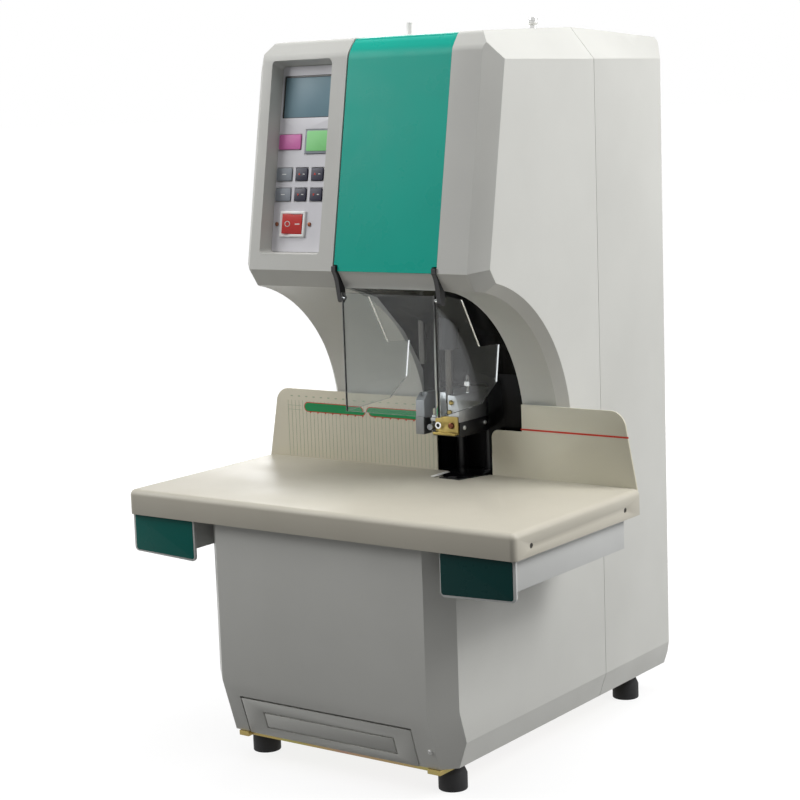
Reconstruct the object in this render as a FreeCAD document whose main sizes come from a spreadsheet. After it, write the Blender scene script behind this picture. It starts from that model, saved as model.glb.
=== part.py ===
import FreeCAD, Part

import math
import os

import Sketcher

# Document riveting machine: a motor-driven bench machine that drills a stack of papers against a
# fence and binds it with a plastic tube. Millimetres, +Z up, -Y towards the user, +X to the user's
# right. The origin is on the floor, in the middle of the machine's width and depth.

DOC = FreeCAD.newDocument("riveting_machine")
SHEET = DOC.addObject("Spreadsheet::Sheet", "Sizes")
PIECES = {}

# ---------------------------------------------------------------------------------------------
# Dimensions. A number drives the model and a formula follows from others. "_y" places count back
# from the table's front edge, "_z" places up from the floor, "_x" places from the middle plane.
# ---------------------------------------------------------------------------------------------

DIMENSIONS = {
    # overall
    "table_width": 459.0,
    "machine_depth": 437.0,
    "body_width": 290.0,
    "body_rise": 436.5,
    "body_top": "=table_top + body_rise",
    "body_bottom": 29.5,
    "wall": 3.5,
    "running_gap": 0.3,
    # table and fence
    "table_depth": 222.0,
    "table_top": 268.5,
    "table_skirt": 25.0,
    "table_gauge": 2.0,
    "table_round": 6.0,
    "fence_rise": 74.0,
    "fence_ledge": 46.5,
    "fence_gauge": 2.0,
    "fence_corner": 16.0,
    "fence_left_reach": 39.0,
    "fence_right_reach": 28.0,
    "fence_ledge_width": 36.0,
    "fence_open_left": "=drill_x - fence_left_reach",
    "fence_open_right": "=drill_x + fence_right_reach",
    "fence_ledge_right": "=fence_open_right + fence_ledge_width",
    # front housing, seen from the side
    "base_front_y": 9.0,
    "base_corner": 21.5,
    "chin_rise": 54.5,
    "chin_slant": 17.4,
    "seam_y": 297.0,
    "seam_gap": 0.6,
    "throat_y": 231.0,
    "throat_radius": 158.0,
    "throat_axis_rise": 42.5,
    "throat_axis_z": "=table_top + throat_axis_rise",
    "head_front_y": 86.0,
    "head_clearance": 215.5,
    "head_chin_z": "=table_top + head_clearance",
    "head_chin_back": 12.0,
    "head_rise": 206.0,
    "head_lean": 37.5,
    "head_corner": 15.0,
    "arch_corner": 9.5,
    "brow_drop": 15.0,
    "brow_back": 11.5,
    "sill_rise": 25.5,
    "sill_in": 8.5,
    "roof_side_in": 22.0,
    "roof_side_drop": 27.0,
    "ridge_rise": 5.0,
    "rear_fall": 5.0,
    "rear_side_in": 6.0,
    "rear_corner": 4.0,
    "skirt_corner": 10.0,
    # channel for the press, between the two sides of the head
    "channel_shift": 1.0,
    "channel_x": "=drill_x + channel_shift",
    "channel_width": 122.0,
    # control panel recess in the head's left side
    "panel_left": -115.5,
    "panel_right": -47.0,
    "panel_low": 19.0,
    "panel_high": 203.0,
    "panel_depth": 15.0,
    "panel_draft": 12.0,
    "film": 1.0,
    # base plate, feet and waste drawer
    "plate_gauge": 5.0,
    "plate_left": -118.0,
    "plate_right": 125.5,
    "plate_proud": 2.4,
    "plate_rear_in": 12.0,
    "foot_radius": 14.0,
    "foot_x": 114.0,
    "foot_front_y": 61.0,
    "foot_rear_y": 391.0,
    "waste_left": -105.0,
    "waste_right": 100.0,
    "waste_top": 67.0,
    "waste_bottom": 28.5,
    "waste_depth": 180.0,
    "waste_gap": 1.2,
    "waste_gap_top": 2.0,
    "tray_wall": 2.0,
    # side drawers under the table
    "drawer_inner": 152.0,
    "drawer_width": 70.0,
    "drawer_front_y": 6.5,
    "drawer_length": 198.0,
    "drawer_height": 30.0,
    "drawer_label_overlap": 5.5,
    "drawer_label_width": 81.0,
    "drawer_label_height": 41.0,
    "drawer_label_rise": 3.2,
    "drawer_label_corner": 5.0,
    "drawer_label_gauge": 2.5,
    # frame
    "frame_gauge": 5.0,
    "back_gauge": 3.0,
    "frame_span": 112.0,
    "frame_left": "=drill_x - frame_span / 2",
    "frame_right": "=drill_x + frame_span / 2",
    "frame_front_y": 236.0,
    "frame_rear_y": 290.0,
    "rod_radius": 6.0,
    "rod_spread": 36.0,
    "rod_y": 262.0,
    "rod_seat_depth": 8.0,
    "rod_headroom": 50.0,
    "beam_height": 15.0,
    "bed_drop": 33.5,
    "bed_low_z": "=table_top - bed_drop",
    "rod_low_z": "=bed_low_z + rod_seat_depth",
    "rod_high_z": "=body_top - rod_headroom",
    "beam_low_z": "=rod_high_z - beam_height",
    # drill and press axes
    "drill_x": 34.0,
    "drill_y": 191.0,
    "drill_radius": 3.0,
    "quill_radius": 9.0,
    "quill_clearance": 130.5,
    "quill_low_z": "=table_top + quill_clearance",
    "drill_travel": 43.0,
    "press_travel": 41.0,
    "clamp_front_y": 181.0,
    "clamp_width": 34.0,
    "clamp_left": "=drill_x - clamp_width / 2",
    "clamp_right": "=drill_x + clamp_width / 2",
    "paper_height": 43.5,
    "clamp_low_z": "=table_top + paper_height",
    "clamp_foot_height": 15.0,
    "clamp_block_height": 27.0,
    "notch_floor": 6.0,
    "notch_side": 4.5,
    "notch_back": 5.5,
    "arm_offset": 30.5,
    "arm_width": 10.0,
    "arm_left": "=drill_x - arm_offset - arm_width / 2",
    "arm_right": "=drill_x - arm_offset + arm_width / 2",
    "arm_axis_y": 188.0,
    "anvil_proud": 1.0,
    "anvil_front_width": 24.0,
    "anvil_rear_width": 47.0,
    "anvil_front_y": 185.0,
    "carriage_front_y": 246.0,
    "press_screw_radius": 5.0,
    "feed_screw_radius": 4.0,
    "spindle_radius": 3.9,
    "drill_block_rise": 101.0,
    "drill_block_low_z": "=quill_low_z + drill_block_rise",
    "drill_block_height": 60.0,
    "pulley_radius": 12.0,
    "pulley_centres": 41.0,
    "motor_size": 54.0,
    "feed_motor_size": 42.0,
    # covers
    "cover_inset": 2.0,
    "cover_gauge": 3.0,
    "skin": 1.5,
    "sheet_gauge": 1.5,
    # guard
    "guard_gauge": 3.0,
    "guard_width": 111.5,
    "guard_front_y": 90.0,
    "guard_drop": 21.0,
    "guard_clearance": 79.5,
    "guard_high_z": "=head_chin_z - guard_drop",
    "guard_low_z": "=table_top + guard_clearance",
    "hinge_y": 96.0,
    "hinge_drop": 26.0,
    "hinge_z": "=head_chin_z - hinge_drop",
    "hinge_radius": 2.0,
}


class Size:
    """A length that knows its number and the sheet formula that gives it."""

    def __init__(self, number, formula):
        self.number = number
        self.formula = formula

    def __add__(self, other):
        other = as_size(other)
        return Size(self.number + other.number, f"({self.formula} + {other.formula})")

    def __radd__(self, other):
        return as_size(other) + self

    def __sub__(self, other):
        other = as_size(other)
        return Size(self.number - other.number, f"({self.formula} - {other.formula})")

    def __rsub__(self, other):
        return as_size(other) - self

    def __mul__(self, other):
        other = as_size(other)
        return Size(self.number * other.number, f"({self.formula} * {other.formula})")

    def __rmul__(self, other):
        return as_size(other) * self

    def __truediv__(self, other):
        other = as_size(other)
        return Size(self.number / other.number, f"({self.formula} / {other.formula})")

    def __neg__(self):
        return Size(-self.number, f"(-{self.formula})")


def as_size(value):
    """Any plain number as a Size."""
    return value if isinstance(value, Size) else Size(float(value), repr(float(value)))


def root(size):
    """Square root of a Size."""
    return Size(math.sqrt(size.number), f"sqrt({size.formula})")


def fill_sheet():
    """Writes the dimensions to the sheet and returns them by name."""
    for row, alias in enumerate(DIMENSIONS, start=1):
        SHEET.set(f"A{row}", alias)
        SHEET.setAlias(f"B{row}", alias)
    for row, content in enumerate(DIMENSIONS.values(), start=1):
        SHEET.set(f"B{row}", str(content))
    DOC.recompute()
    return {alias: Size(float(SHEET.get(alias)), f"Sizes.{alias}") for alias in DIMENSIONS}


D = fill_sheet()
FRONT = D["machine_depth"] / -2
GAP = D["running_gap"]


def y_at(place):
    """A place behind the table's front edge, as a Y coordinate."""
    return FRONT + (D[place] if isinstance(place, str) else place)


# ---------------------------------------------------------------------------------------------
# Places worked out from the dimensions
# ---------------------------------------------------------------------------------------------

HALF_BODY = D["body_width"] / 2
SEAM = y_at("seam_y")
REAR = FRONT + D["machine_depth"]
TABLE_REAR = y_at("table_depth")
TABLE_LOW = D["table_top"] - D["table_skirt"]
HEAD_FRONT = y_at("head_front_y")
BROW_Z = D["head_chin_z"] + D["head_rise"]
BROW_BACK = HEAD_FRONT + D["head_lean"] + D["brow_back"]
PEG_X = 60.0
PEG_Y = y_at(323)
PEG_SEAT = D["body_top"] + D["ridge_rise"] - 1
THROAT = y_at("throat_y")
THROAT_AXIS_Y = THROAT - D["throat_radius"]
CHIN_BACK = HEAD_FRONT + D["head_chin_back"]
THROAT_REACH = CHIN_BACK - THROAT_AXIS_Y
THROAT_CREST = D["throat_axis_z"] + root(
    D["throat_radius"] * D["throat_radius"] - THROAT_REACH * THROAT_REACH
)
CHANNEL_LEFT = D["channel_x"] - D["channel_width"] / 2
CHANNEL_RIGHT = D["channel_x"] + D["channel_width"] / 2
FACE_LENGTH = root(D["head_rise"] * D["head_rise"] + D["head_lean"] * D["head_lean"])
FACE_SIN = D["head_lean"] / FACE_LENGTH
FACE_COS = D["head_rise"] / FACE_LENGTH
DRILL_Y = y_at("drill_y")
ROD_Y = y_at("rod_y")
ARM_X = (D["arm_left"] + D["arm_right"]) / 2
ANVIL_X = D["drill_x"]
ANVIL_LOW = D["table_top"] - 10.5
PRESS_TOP = D["clamp_low_z"] + D["clamp_foot_height"] + D["clamp_block_height"]
FRAME_INNER_LEFT = D["frame_left"] + D["frame_gauge"]
FRAME_INNER_RIGHT = D["frame_right"] - D["frame_gauge"]
MOTOR_Y = DRILL_Y - D["pulley_centres"]
PULLEY_LOW = D["drill_block_low_z"] + 29
GUARD_LEFT = D["channel_x"] - D["guard_width"] / 2
GUARD_RIGHT = D["channel_x"] + D["guard_width"] / 2
BEYOND = 60.0

# fits and small fixed sizes
SLIDE_FIT = 0.05
RUNNING_FIT = 0.08
TUBE_RADIUS = 3.2
TUBE_BORE = 2.7
TABLE_SCREW = 2.5
PAD_RADIUS = 4.5
PAD_THICK = 5.0
PULLEY_HEIGHT = 12.0
BRACKET_RISE = 5.0
PRESS_SLOT_MARGIN = 6.0
ANVIL_CLEARANCE = 0.5
BED_TOP_DROP = 6.5
KEY_THICK = 1.4
ROCKER_WIDTH = 25.4
ROCKER_HEIGHT = 19.9
ROCKER_TILT = 8.0
ROCKER_PIVOT_DEPTH = 5.2

# control panel, in face coordinates: x, and v up the slope from the chin
DISPLAY_LEFT = D["panel_left"] + 1
DISPLAY_RIGHT = D["panel_right"] - 1
DISPLAY_LOW = as_size(150.0)
DISPLAY_HIGH = as_size(195.0)
SWITCH_X = as_size(-89.5)
SWITCH_V = as_size(46.5)
SWITCH_HOLE_WIDTH = as_size(27.5)
SWITCH_HOLE_HEIGHT = as_size(22.0)
SWITCH_FLANGE_WIDTH = as_size(31.5)
SWITCH_FLANGE_HEIGHT = as_size(25.5)
VENT_ROWS = 9
VENT_PITCH = 9.0
VENT_SLOT = 4.0
VENT_LENGTH = 70.0
VENT_MIDDLE = 55.0
VENT_HIGH_Z = 560.0
VENT_LOW_Z = 190.0
INLET_X = 70.0
INLET_Z = 110.0
INLET_WIDTH = 50.0
INLET_HEIGHT = 28.0
INLET_CORE = 28.0
INLET_CORE_HEIGHT = 21.0
INLET_FLANGE = 2.0

# label, then left, low, right and high in face coordinates
KEYS = [
    ("reset_key", -114.5, 120.0, -86.0, 135.5),
    ("start_key", -81.5, 115.5, -51.0, 140.0),
    ("upper_mode_key", -114.5, 89.0, -94.5, 102.5),
    ("lower_mode_key", -114.5, 69.0, -94.5, 82.5),
    ("count_up_key", -90.5, 89.0, -75.0, 102.5),
    ("count_down_key", -90.5, 69.0, -75.0, 82.5),
    ("value_up_key", -71.0, 89.0, -55.5, 102.5),
    ("value_down_key", -71.0, 69.0, -55.5, 82.5),
]


# ---------------------------------------------------------------------------------------------
# Drawing helpers
# ---------------------------------------------------------------------------------------------

def bind(thing, **formulas):
    """Sets properties from Sizes; a double underscore in a name stands for a dot."""
    for name, value in formulas.items():
        thing.setExpression(name.replace("__", "."), as_size(value).formula)


def move(thing, x=0, y=0, z=0):
    """Binds an object's place."""
    bind(thing, Placement__Base__x=x, Placement__Base__y=y, Placement__Base__z=z)
    return thing


def rect(x0, y0, x1, y1):
    """Corners of an upright rectangle."""
    return [(x0, y0), (x1, y0), (x1, y1), (x0, y1)]


def circle(x, y, radius):
    """A full circle in a sketch."""
    return ("circle", x, y, radius)


def pin_point(sketch, edge, end, x, y):
    """Dimensions one point of a sketch from the sketch's origin."""
    for kind, value in (("DistanceX", as_size(x)), ("DistanceY", as_size(y))):
        index = sketch.addConstraint(Sketcher.Constraint(kind, -1, 1, edge, end, value.number))
        sketch.setExpression(f"Constraints[{index}]", value.formula)


def pin_radius(sketch, edge, radius):
    """Dimensions a circle's or an arc's radius."""
    index = sketch.addConstraint(Sketcher.Constraint("Radius", edge, radius.number))
    sketch.setExpression(f"Constraints[{index}]", radius.formula)


def arc_between(start, end, radius):
    """The short arc from start to end, which bulges to the right for a radius above zero."""
    chord = end - start
    half = chord.Length / 2
    reach = math.sqrt(max(radius * radius - half * half, 0.0))
    left = FreeCAD.Vector(-chord.y, chord.x, 0).normalize()
    centre = (start + end) / 2 + left * (reach if radius > 0 else -reach)
    first, last = (start, end) if radius > 0 else (end, start)
    angles = [math.atan2(point.y - centre.y, point.x - centre.x) for point in (first, last)]
    if angles[1] < angles[0]:
        angles[1] += 2 * math.pi
    ring = Part.Circle(centre, FreeCAD.Vector(0, 0, 1), abs(radius))
    return Part.ArcOfCircle(ring, angles[0], angles[1])


def draw_loop(sketch, loop):
    """Draws a closed loop of (x, y) corners; (x, y, radius) ends an arc from the corner before."""
    corners = [(as_size(c[0]), as_size(c[1])) for c in loop]
    points = [FreeCAD.Vector(x.number, y.number, 0) for x, y in corners]
    ends = []
    for index, corner in enumerate(loop):
        start = points[index - 1]
        end = points[index]
        if len(corner) == 2:
            edge = sketch.addGeometry(Part.LineSegment(start, end), False)
            ends.append((edge, 1, 2))
            continue
        radius = as_size(corner[2])
        edge = sketch.addGeometry(arc_between(start, end, radius.number), False)
        ends.append((edge, 1, 2) if radius.number > 0 else (edge, 2, 1))
        pin_radius(sketch, edge, radius if radius.number > 0 else -radius)
    for index, (edge, _, end) in enumerate(ends):
        follower, first, _ = ends[(index + 1) % len(ends)]
        sketch.addConstraint(Sketcher.Constraint("Coincident", edge, end, follower, first))
        pin_point(sketch, edge, end, *corners[index])


def draw(sketch, loops):
    """Draws circles and closed loops into a sketch."""
    for loop in loops:
        if loop[0] == "circle":
            _, x, y, radius = loop
            centre = FreeCAD.Vector(as_size(x).number, as_size(y).number, 0)
            normal = FreeCAD.Vector(0, 0, 1)
            edge = sketch.addGeometry(Part.Circle(centre, normal, as_size(radius).number), False)
            pin_point(sketch, edge, 3, x, y)
            pin_radius(sketch, edge, as_size(radius))
        else:
            draw_loop(sketch, loop)


def new_body(label):
    """A new body, kept as a piece under its label."""
    body = DOC.addObject("PartDesign::Body", label)
    body.Label = label
    PIECES[label] = body
    return body


def place_sketch(sketch, body, plane, low, high):
    """Attaches a sketch so that an extrusion along its normal fills low to high on its axis.

    XY, YZ and XZ are the body's planes. FACE leans with the head's front: x runs to the right, y
    up the slope from the chin, and the axis outwards from the face. SLOPE stands across it: x to
    the right, y into the head, and the axis up the slope.
    """
    role = {"FACE": "XZ_Plane", "SLOPE": "XY_Plane"}.get(plane, plane + "_Plane")
    lean = f"-atan({D['head_lean'].formula} / {D['head_rise'].formula})"
    support = [f for f in body.Origin.OriginFeatures if f.Role == role][0]
    sketch.AttachmentSupport = [(support, "")]
    sketch.MapMode = "FlatFace"
    if plane == "FACE":
        bind(
            sketch,
            AttachmentOffset__Base__y=D["head_chin_z"] + low * FACE_SIN,
            AttachmentOffset__Base__z=low * FACE_COS - HEAD_FRONT,
            AttachmentOffset__Rotation__Axis__x=1,
            AttachmentOffset__Rotation__Axis__z=0,
        )
        sketch.setExpression("AttachmentOffset.Rotation.Angle", lean)
    elif plane == "SLOPE":
        bind(
            sketch,
            AttachmentOffset__Base__y=HEAD_FRONT + low * FACE_SIN,
            AttachmentOffset__Base__z=D["head_chin_z"] + low * FACE_COS,
            AttachmentOffset__Rotation__Axis__x=1,
            AttachmentOffset__Rotation__Axis__z=0,
        )
        sketch.setExpression("AttachmentOffset.Rotation.Angle", lean)
    elif plane == "XZ":
        bind(sketch, AttachmentOffset__Base__z=-high)
    else:
        bind(sketch, AttachmentOffset__Base__z=low)


def slab(body, name, plane, low, high, *loops):
    """Adds an extruded outline to a body, from low to high along the plane's axis."""
    return extrude(body, name, plane, low, high, loops, "PartDesign::Pad")


def cut(body, name, plane, low, high, *loops):
    """Cuts an extruded outline out of a body, and makes sure that it takes something away."""
    before = body.Tip.Shape.Volume
    feature = extrude(body, name, plane, low, high, loops, "PartDesign::Pocket")
    if feature.Shape.Volume > before - 0.01:
        raise RuntimeError(f"{body.Label}: {name} cuts nothing")
    return feature


def extrude(body, name, plane, low, high, loops, kind):
    """A pad or a pocket between two places on an axis."""
    low = as_size(low)
    high = as_size(high)
    sketch = body.newObject("Sketcher::SketchObject", name + "_outline")
    place_sketch(sketch, body, plane, low, high)
    draw(sketch, loops)
    feature = body.newObject(kind, name)
    feature.Profile = sketch
    feature.Reversed = kind == "PartDesign::Pocket"
    bind(feature, Length=high - low)
    sketch.Visibility = False
    DOC.recompute()
    return feature


def edges_where(feature, test):
    """Names of a feature's edges that pass a test."""
    return [f"Edge{n}" for n, e in enumerate(feature.Shape.Edges, start=1) if test(e)]


def faces_where(feature, test):
    """Names of a feature's faces that pass a test."""
    return [f"Face{n}" for n, f in enumerate(feature.Shape.Faces, start=1) if test(f)]


def soften(body, name, kind, test, size):
    """Rounds or chamfers the edges of a body's tip that pass a test."""
    tip = body.Tip
    names = edges_where(tip, test)
    feature = body.newObject(f"PartDesign::{kind}", name)
    feature.Base = (tip, names)
    bind(feature, **{"Radius" if kind == "Fillet" else "Size": size})
    DOC.recompute()
    return feature


def hollow(body, name, wall, test, rounded=False):
    """Turns a body into a shell, open at the faces that pass a test."""
    tip = body.Tip
    names = faces_where(tip, test)
    feature = body.newObject("PartDesign::Thickness", name)
    feature.Base = (tip, names)
    feature.Reversed = True
    feature.Join = 0 if rounded else 1
    bind(feature, Value=wall)
    DOC.recompute()
    return feature


def near(value, target, slack=0.05):
    """Whether two numbers agree."""
    return abs(value - as_size(target).number) < slack


def block(name, x0, x1, y0, y1, z0, z1):
    """A box between six faces."""
    box = DOC.addObject("Part::Box", name)
    x0, x1, y0, y1, z0, z1 = (as_size(v) for v in (x0, x1, y0, y1, z0, z1))
    bind(box, Length=x1 - x0, Width=y1 - y0, Height=z1 - z0)
    return move(box, x0, y0, z0)


AXIS_TURN = {"X": (0, 1, 0, 90), "-Y": (1, 0, 0, 90), "Y": (1, 0, 0, -90), "Z": (0, 0, 1, 0)}


def rod(name, x, y, z, radius, length, axis="Z"):
    """A cylinder that starts at a point and runs along an axis."""
    cylinder = DOC.addObject("Part::Cylinder", name)
    bind(cylinder, Radius=radius, Height=length)
    ax, ay, az, degrees = AXIS_TURN[axis]
    turn = FreeCAD.Rotation(FreeCAD.Vector(ax, ay, az), degrees)
    cylinder.Placement = FreeCAD.Placement(FreeCAD.Vector(), turn)
    return move(cylinder, x, y, z)


def cone(name, x, y, z, low_radius, high_radius, length):
    """A cone standing on a point."""
    shape = DOC.addObject("Part::Cone", name)
    bind(shape, Radius1=low_radius, Radius2=high_radius, Height=length)
    return move(shape, x, y, z)


def join(name, *shapes):
    """One solid from several that touch."""
    fused = DOC.addObject("Part::MultiFuse", name)
    fused.Shapes = list(shapes)
    fused.Refine = True
    return fused


def carve(name, base, *tools):
    """A shape less its tools."""
    result = DOC.addObject("Part::Cut", name)
    result.Base = base
    result.Tool = tools[0] if len(tools) == 1 else join(name + "_tools", *tools)
    return result


def group(name, *shapes):
    """Separate solids that share a node."""
    compound = DOC.addObject("Part::Compound", name)
    compound.Links = list(shapes)
    return compound


def keep(label, thing):
    """Names a finished piece."""
    thing.Label = label
    PIECES[label] = thing
    return thing


# ---------------------------------------------------------------------------------------------
# Housing
# ---------------------------------------------------------------------------------------------

def front_housing():
    """The C-shaped shell: base, column and the two sides of the head."""
    body = new_body("front_housing")
    base_front = y_at("base_front_y")
    chin_z = D["body_bottom"] + D["chin_rise"]
    profile = [
        (SEAM, D["body_bottom"]),
        (SEAM, D["body_top"] + D["ridge_rise"]),
        (BROW_BACK, D["body_top"]),
        (HEAD_FRONT + D["head_lean"], BROW_Z),
        (HEAD_FRONT, D["head_chin_z"]),
        (CHIN_BACK, THROAT_CREST),
        (THROAT, D["throat_axis_z"], -D["throat_radius"]),
        (THROAT, TABLE_LOW),
        (base_front, TABLE_LOW),
        (base_front, chin_z),
        (base_front + D["chin_slant"], D["body_bottom"]),
    ]
    slab(body, "side_profile", "YZ", -HALF_BODY, HALF_BODY, profile)
    half = HALF_BODY.number
    base_limit = base_front.number + D["chin_slant"].number + 1

    def base_corner(edge):
        box = edge.BoundBox
        upright = box.ZLength > 10 and box.XLength < 0.01
        return upright and near(abs(box.XMin), half) and box.YMax < base_limit

    def head_corner(edge):
        box = edge.BoundBox
        front = box.YMax < HEAD_FRONT.number + D["head_lean"].number + 1
        face = front and box.ZMin > THROAT_CREST.number - 1
        return face and box.XLength < 0.01 and near(abs(box.XMin), half)

    def arch_corner(edge):
        box = edge.BoundBox
        arch = box.YLength > 100 and box.ZMax < THROAT_CREST.number + 20 and box.ZLength > 100
        return arch and box.XLength < 0.01 and near(abs(box.XMin), half)

    soften(body, "base_corners", "Chamfer", base_corner, D["base_corner"])
    soften(body, "head_corners", "Chamfer", head_corner, D["head_corner"])
    soften(body, "arch_corners", "Chamfer", arch_corner, D["arch_corner"])
    cut_roof(body, HEAD_FRONT, SEAM)
    cut_sill(body, base_front, SEAM)
    cut(body, "channel", "XZ", HEAD_FRONT - BEYOND, SEAM, rect(
        CHANNEL_LEFT, TABLE_LOW, CHANNEL_RIGHT, D["body_top"] + BEYOND))

    def open_face(face):
        box = face.BoundBox
        at_seam = near(box.YMin, SEAM) and box.YLength < 0.01
        at_floor = near(box.ZMax, D["body_bottom"]) and box.ZLength < 0.01
        return at_seam or at_floor

    hollow(body, "shell", D["wall"], open_face, rounded=True)
    wall = D["wall"]
    slab(body, "panel_tub", "FACE", -D["panel_depth"] - wall, -wall / 2, rect(
        D["panel_left"] - 2 * wall, D["panel_low"] - 2 * wall,
        D["panel_right"] + 2 * wall, D["panel_high"] + 2 * wall))
    recess = cut(body, "panel_recess", "FACE", -D["panel_depth"], 1, rect(
        D["panel_left"], D["panel_low"], D["panel_right"], D["panel_high"]))
    bind(recess, TaperAngle=D["panel_draft"])
    deep = D["panel_depth"] + wall + 1
    cut(body, "display_window", "FACE", -deep, 1 - D["panel_depth"], rect(
        DISPLAY_LEFT - GAP, DISPLAY_LOW - GAP, DISPLAY_RIGHT + GAP, DISPLAY_HIGH + GAP))
    cut(body, "switch_window", "FACE", -deep, 1 - D["panel_depth"], rect(
        SWITCH_X - SWITCH_HOLE_WIDTH / 2, SWITCH_V - SWITCH_HOLE_HEIGHT / 2,
        SWITCH_X + SWITCH_HOLE_WIDTH / 2, SWITCH_V + SWITCH_HOLE_HEIGHT / 2))
    cut(body, "waste_opening", "XZ", base_front - 1, base_front + 40, rect(
        D["waste_left"] - D["waste_gap"], D["body_bottom"] - 1,
        D["waste_right"] + D["waste_gap"], D["waste_top"] + D["waste_gap_top"]))
    cut(body, "bed_opening", "XY", TABLE_LOW - wall - 1, TABLE_LOW + 1, rect(
        D["frame_left"] - 2, y_at("frame_front_y") - 2, D["frame_right"] + 2,
        y_at("frame_rear_y") + 2))
    return body


def roof_side(side, inset, drop):
    """Outline that takes a roof's side off, for a slope with an inset and a drop."""
    low = D["body_top"] - D["roof_side_drop"]
    high = D["body_top"] + 15
    return [
        (side * (HALF_BODY - inset / drop * (D["roof_side_drop"] + 15)), high),
        (side * (HALF_BODY + 5), high),
        (side * (HALF_BODY + 5), low - 5),
        (side * HALF_BODY, low),
    ]


def cut_roof(body, front, rear):
    """Slopes the roof down to the sides."""
    for name, side in (("roof_left", -1), ("roof_right", 1)):
        cut(body, name, "XZ", front - BEYOND, rear + BEYOND, roof_side(
            side, D["roof_side_in"], D["roof_side_drop"]))


def loft_cut(body, name, *outlines):
    """Cuts a ruled loft between outlines, each with its place on the Y axis."""
    before = body.Tip.Shape.Volume
    sketches = []
    for number, (y, outline) in enumerate(outlines, start=1):
        sketch = body.newObject("Sketcher::SketchObject", f"{name}_outline_{number}")
        place_sketch(sketch, body, "XZ", y, y)
        draw(sketch, [outline])
        sketch.Visibility = False
        sketches.append(sketch)
    feature = body.newObject("PartDesign::SubtractiveLoft", name)
    feature.Profile = sketches[0]
    feature.Sections = sketches[1:]
    feature.Ruled = True
    DOC.recompute()
    if feature.Shape.Volume > before - 0.01:
        raise RuntimeError(f"{body.Label}: {name} cuts nothing")
    return feature


def cavity(top, inset, drop):
    """Outline of the back shell's inside, for a roof at a height and its slope at the sides."""
    wall = D["wall"]
    slope = D["sill_in"] / D["sill_rise"]
    skew = root(slope * slope + 1)
    length = root(inset * inset + drop * drop)
    low = D["body_top"] - D["roof_side_drop"]
    side = HALF_BODY - wall
    reach = (top - wall - low + wall * inset / length) / drop
    half = [
        (sill_inside(-1), D["body_bottom"] - 1),
        (side, D["body_bottom"] + D["sill_rise"] + wall * (skew - 1) / slope),
        (side, low - wall * (length - drop) / inset),
        (HALF_BODY - wall * drop / length - inset * reach, top - wall),
    ]
    return half + [(-x, z) for x, z in reversed(half)]


def cut_sill(body, front, rear):
    """Draws the sides in at the bottom."""
    low = D["body_bottom"]
    for name, side in (("sill_left", -1), ("sill_right", 1)):
        cut(body, name, "XZ", front - BEYOND, rear + BEYOND, [
            (side * (HALF_BODY - D["sill_in"]), low),
            (side * HALF_BODY, low + D["sill_rise"]),
            (side * (HALF_BODY + 5), low + D["sill_rise"]),
            (side * (HALF_BODY + 5), low - 5),
            (side * (HALF_BODY - D["sill_in"]), low - 5),
        ])


def rear_cover():
    """The back shell, with its vents and the opening for the power inlet."""
    body = new_body("rear_cover")
    front = SEAM + D["seam_gap"]
    rear_top = D["body_top"] - D["rear_fall"]
    slab(body, "block", "YZ", -HALF_BODY, HALF_BODY, [
        (front, D["body_bottom"]),
        (REAR, D["body_bottom"]),
        (REAR, rear_top),
        (front, D["body_top"] + D["ridge_rise"]),
    ])

    def back_edge(edge):
        box = edge.BoundBox
        upright = box.ZLength > 100
        roof = box.XLength > 100 and near(box.ZMin, rear_top)
        return near(box.YMin, REAR) and near(box.YMax, REAR) and (upright or roof)

    soften(body, "back_edges", "Chamfer", back_edge, D["rear_corner"])
    slope = (D["roof_side_in"], D["roof_side_drop"])
    rear_slope = (D["rear_side_in"], D["roof_side_drop"] - D["rear_fall"])
    for name, side in (("roof_left", -1), ("roof_right", 1)):
        loft_cut(body, name, (front, roof_side(side, *slope)),
                 (REAR, roof_side(side, *rear_slope)))
    cut_sill(body, front, REAR)
    loft_cut(body, "shell", (front - 1, cavity(D["body_top"] + D["ridge_rise"], *slope)),
             (REAR - D["wall"], cavity(rear_top, *rear_slope)))
    slab(body, "peg_boss", "XY", PEG_SEAT - 3.2, PEG_SEAT, circle(PEG_X, PEG_Y, 7))
    for name, low in (("upper_vents", VENT_HIGH_Z), ("lower_vents", VENT_LOW_Z)):
        slots = []
        for row in range(VENT_ROWS):
            z = low + row * VENT_PITCH
            for side in (-1, 1):
                x0 = side * VENT_MIDDLE - VENT_LENGTH / 2
                slots.append(rect(x0, z, x0 + VENT_LENGTH, z + VENT_SLOT))
        cut(body, name, "XZ", REAR - D["wall"] - 1, REAR + 1, *slots)
    cut(body, "inlet_recess", "XZ", REAR - INLET_FLANGE, REAR + 1, rect(
        INLET_X - INLET_WIDTH / 2 - GAP, INLET_Z - INLET_HEIGHT / 2 - GAP,
        INLET_X + INLET_WIDTH / 2 + GAP, INLET_Z + INLET_HEIGHT / 2 + GAP))
    cut(body, "inlet_hole", "XZ", REAR - D["wall"] - 1, REAR + 1, rect(
        INLET_X - INLET_CORE / 2 - GAP, INLET_Z - INLET_CORE_HEIGHT / 2 - GAP,
        INLET_X + INLET_CORE / 2 + GAP, INLET_Z + INLET_CORE_HEIGHT / 2 + GAP))
    return body


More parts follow.
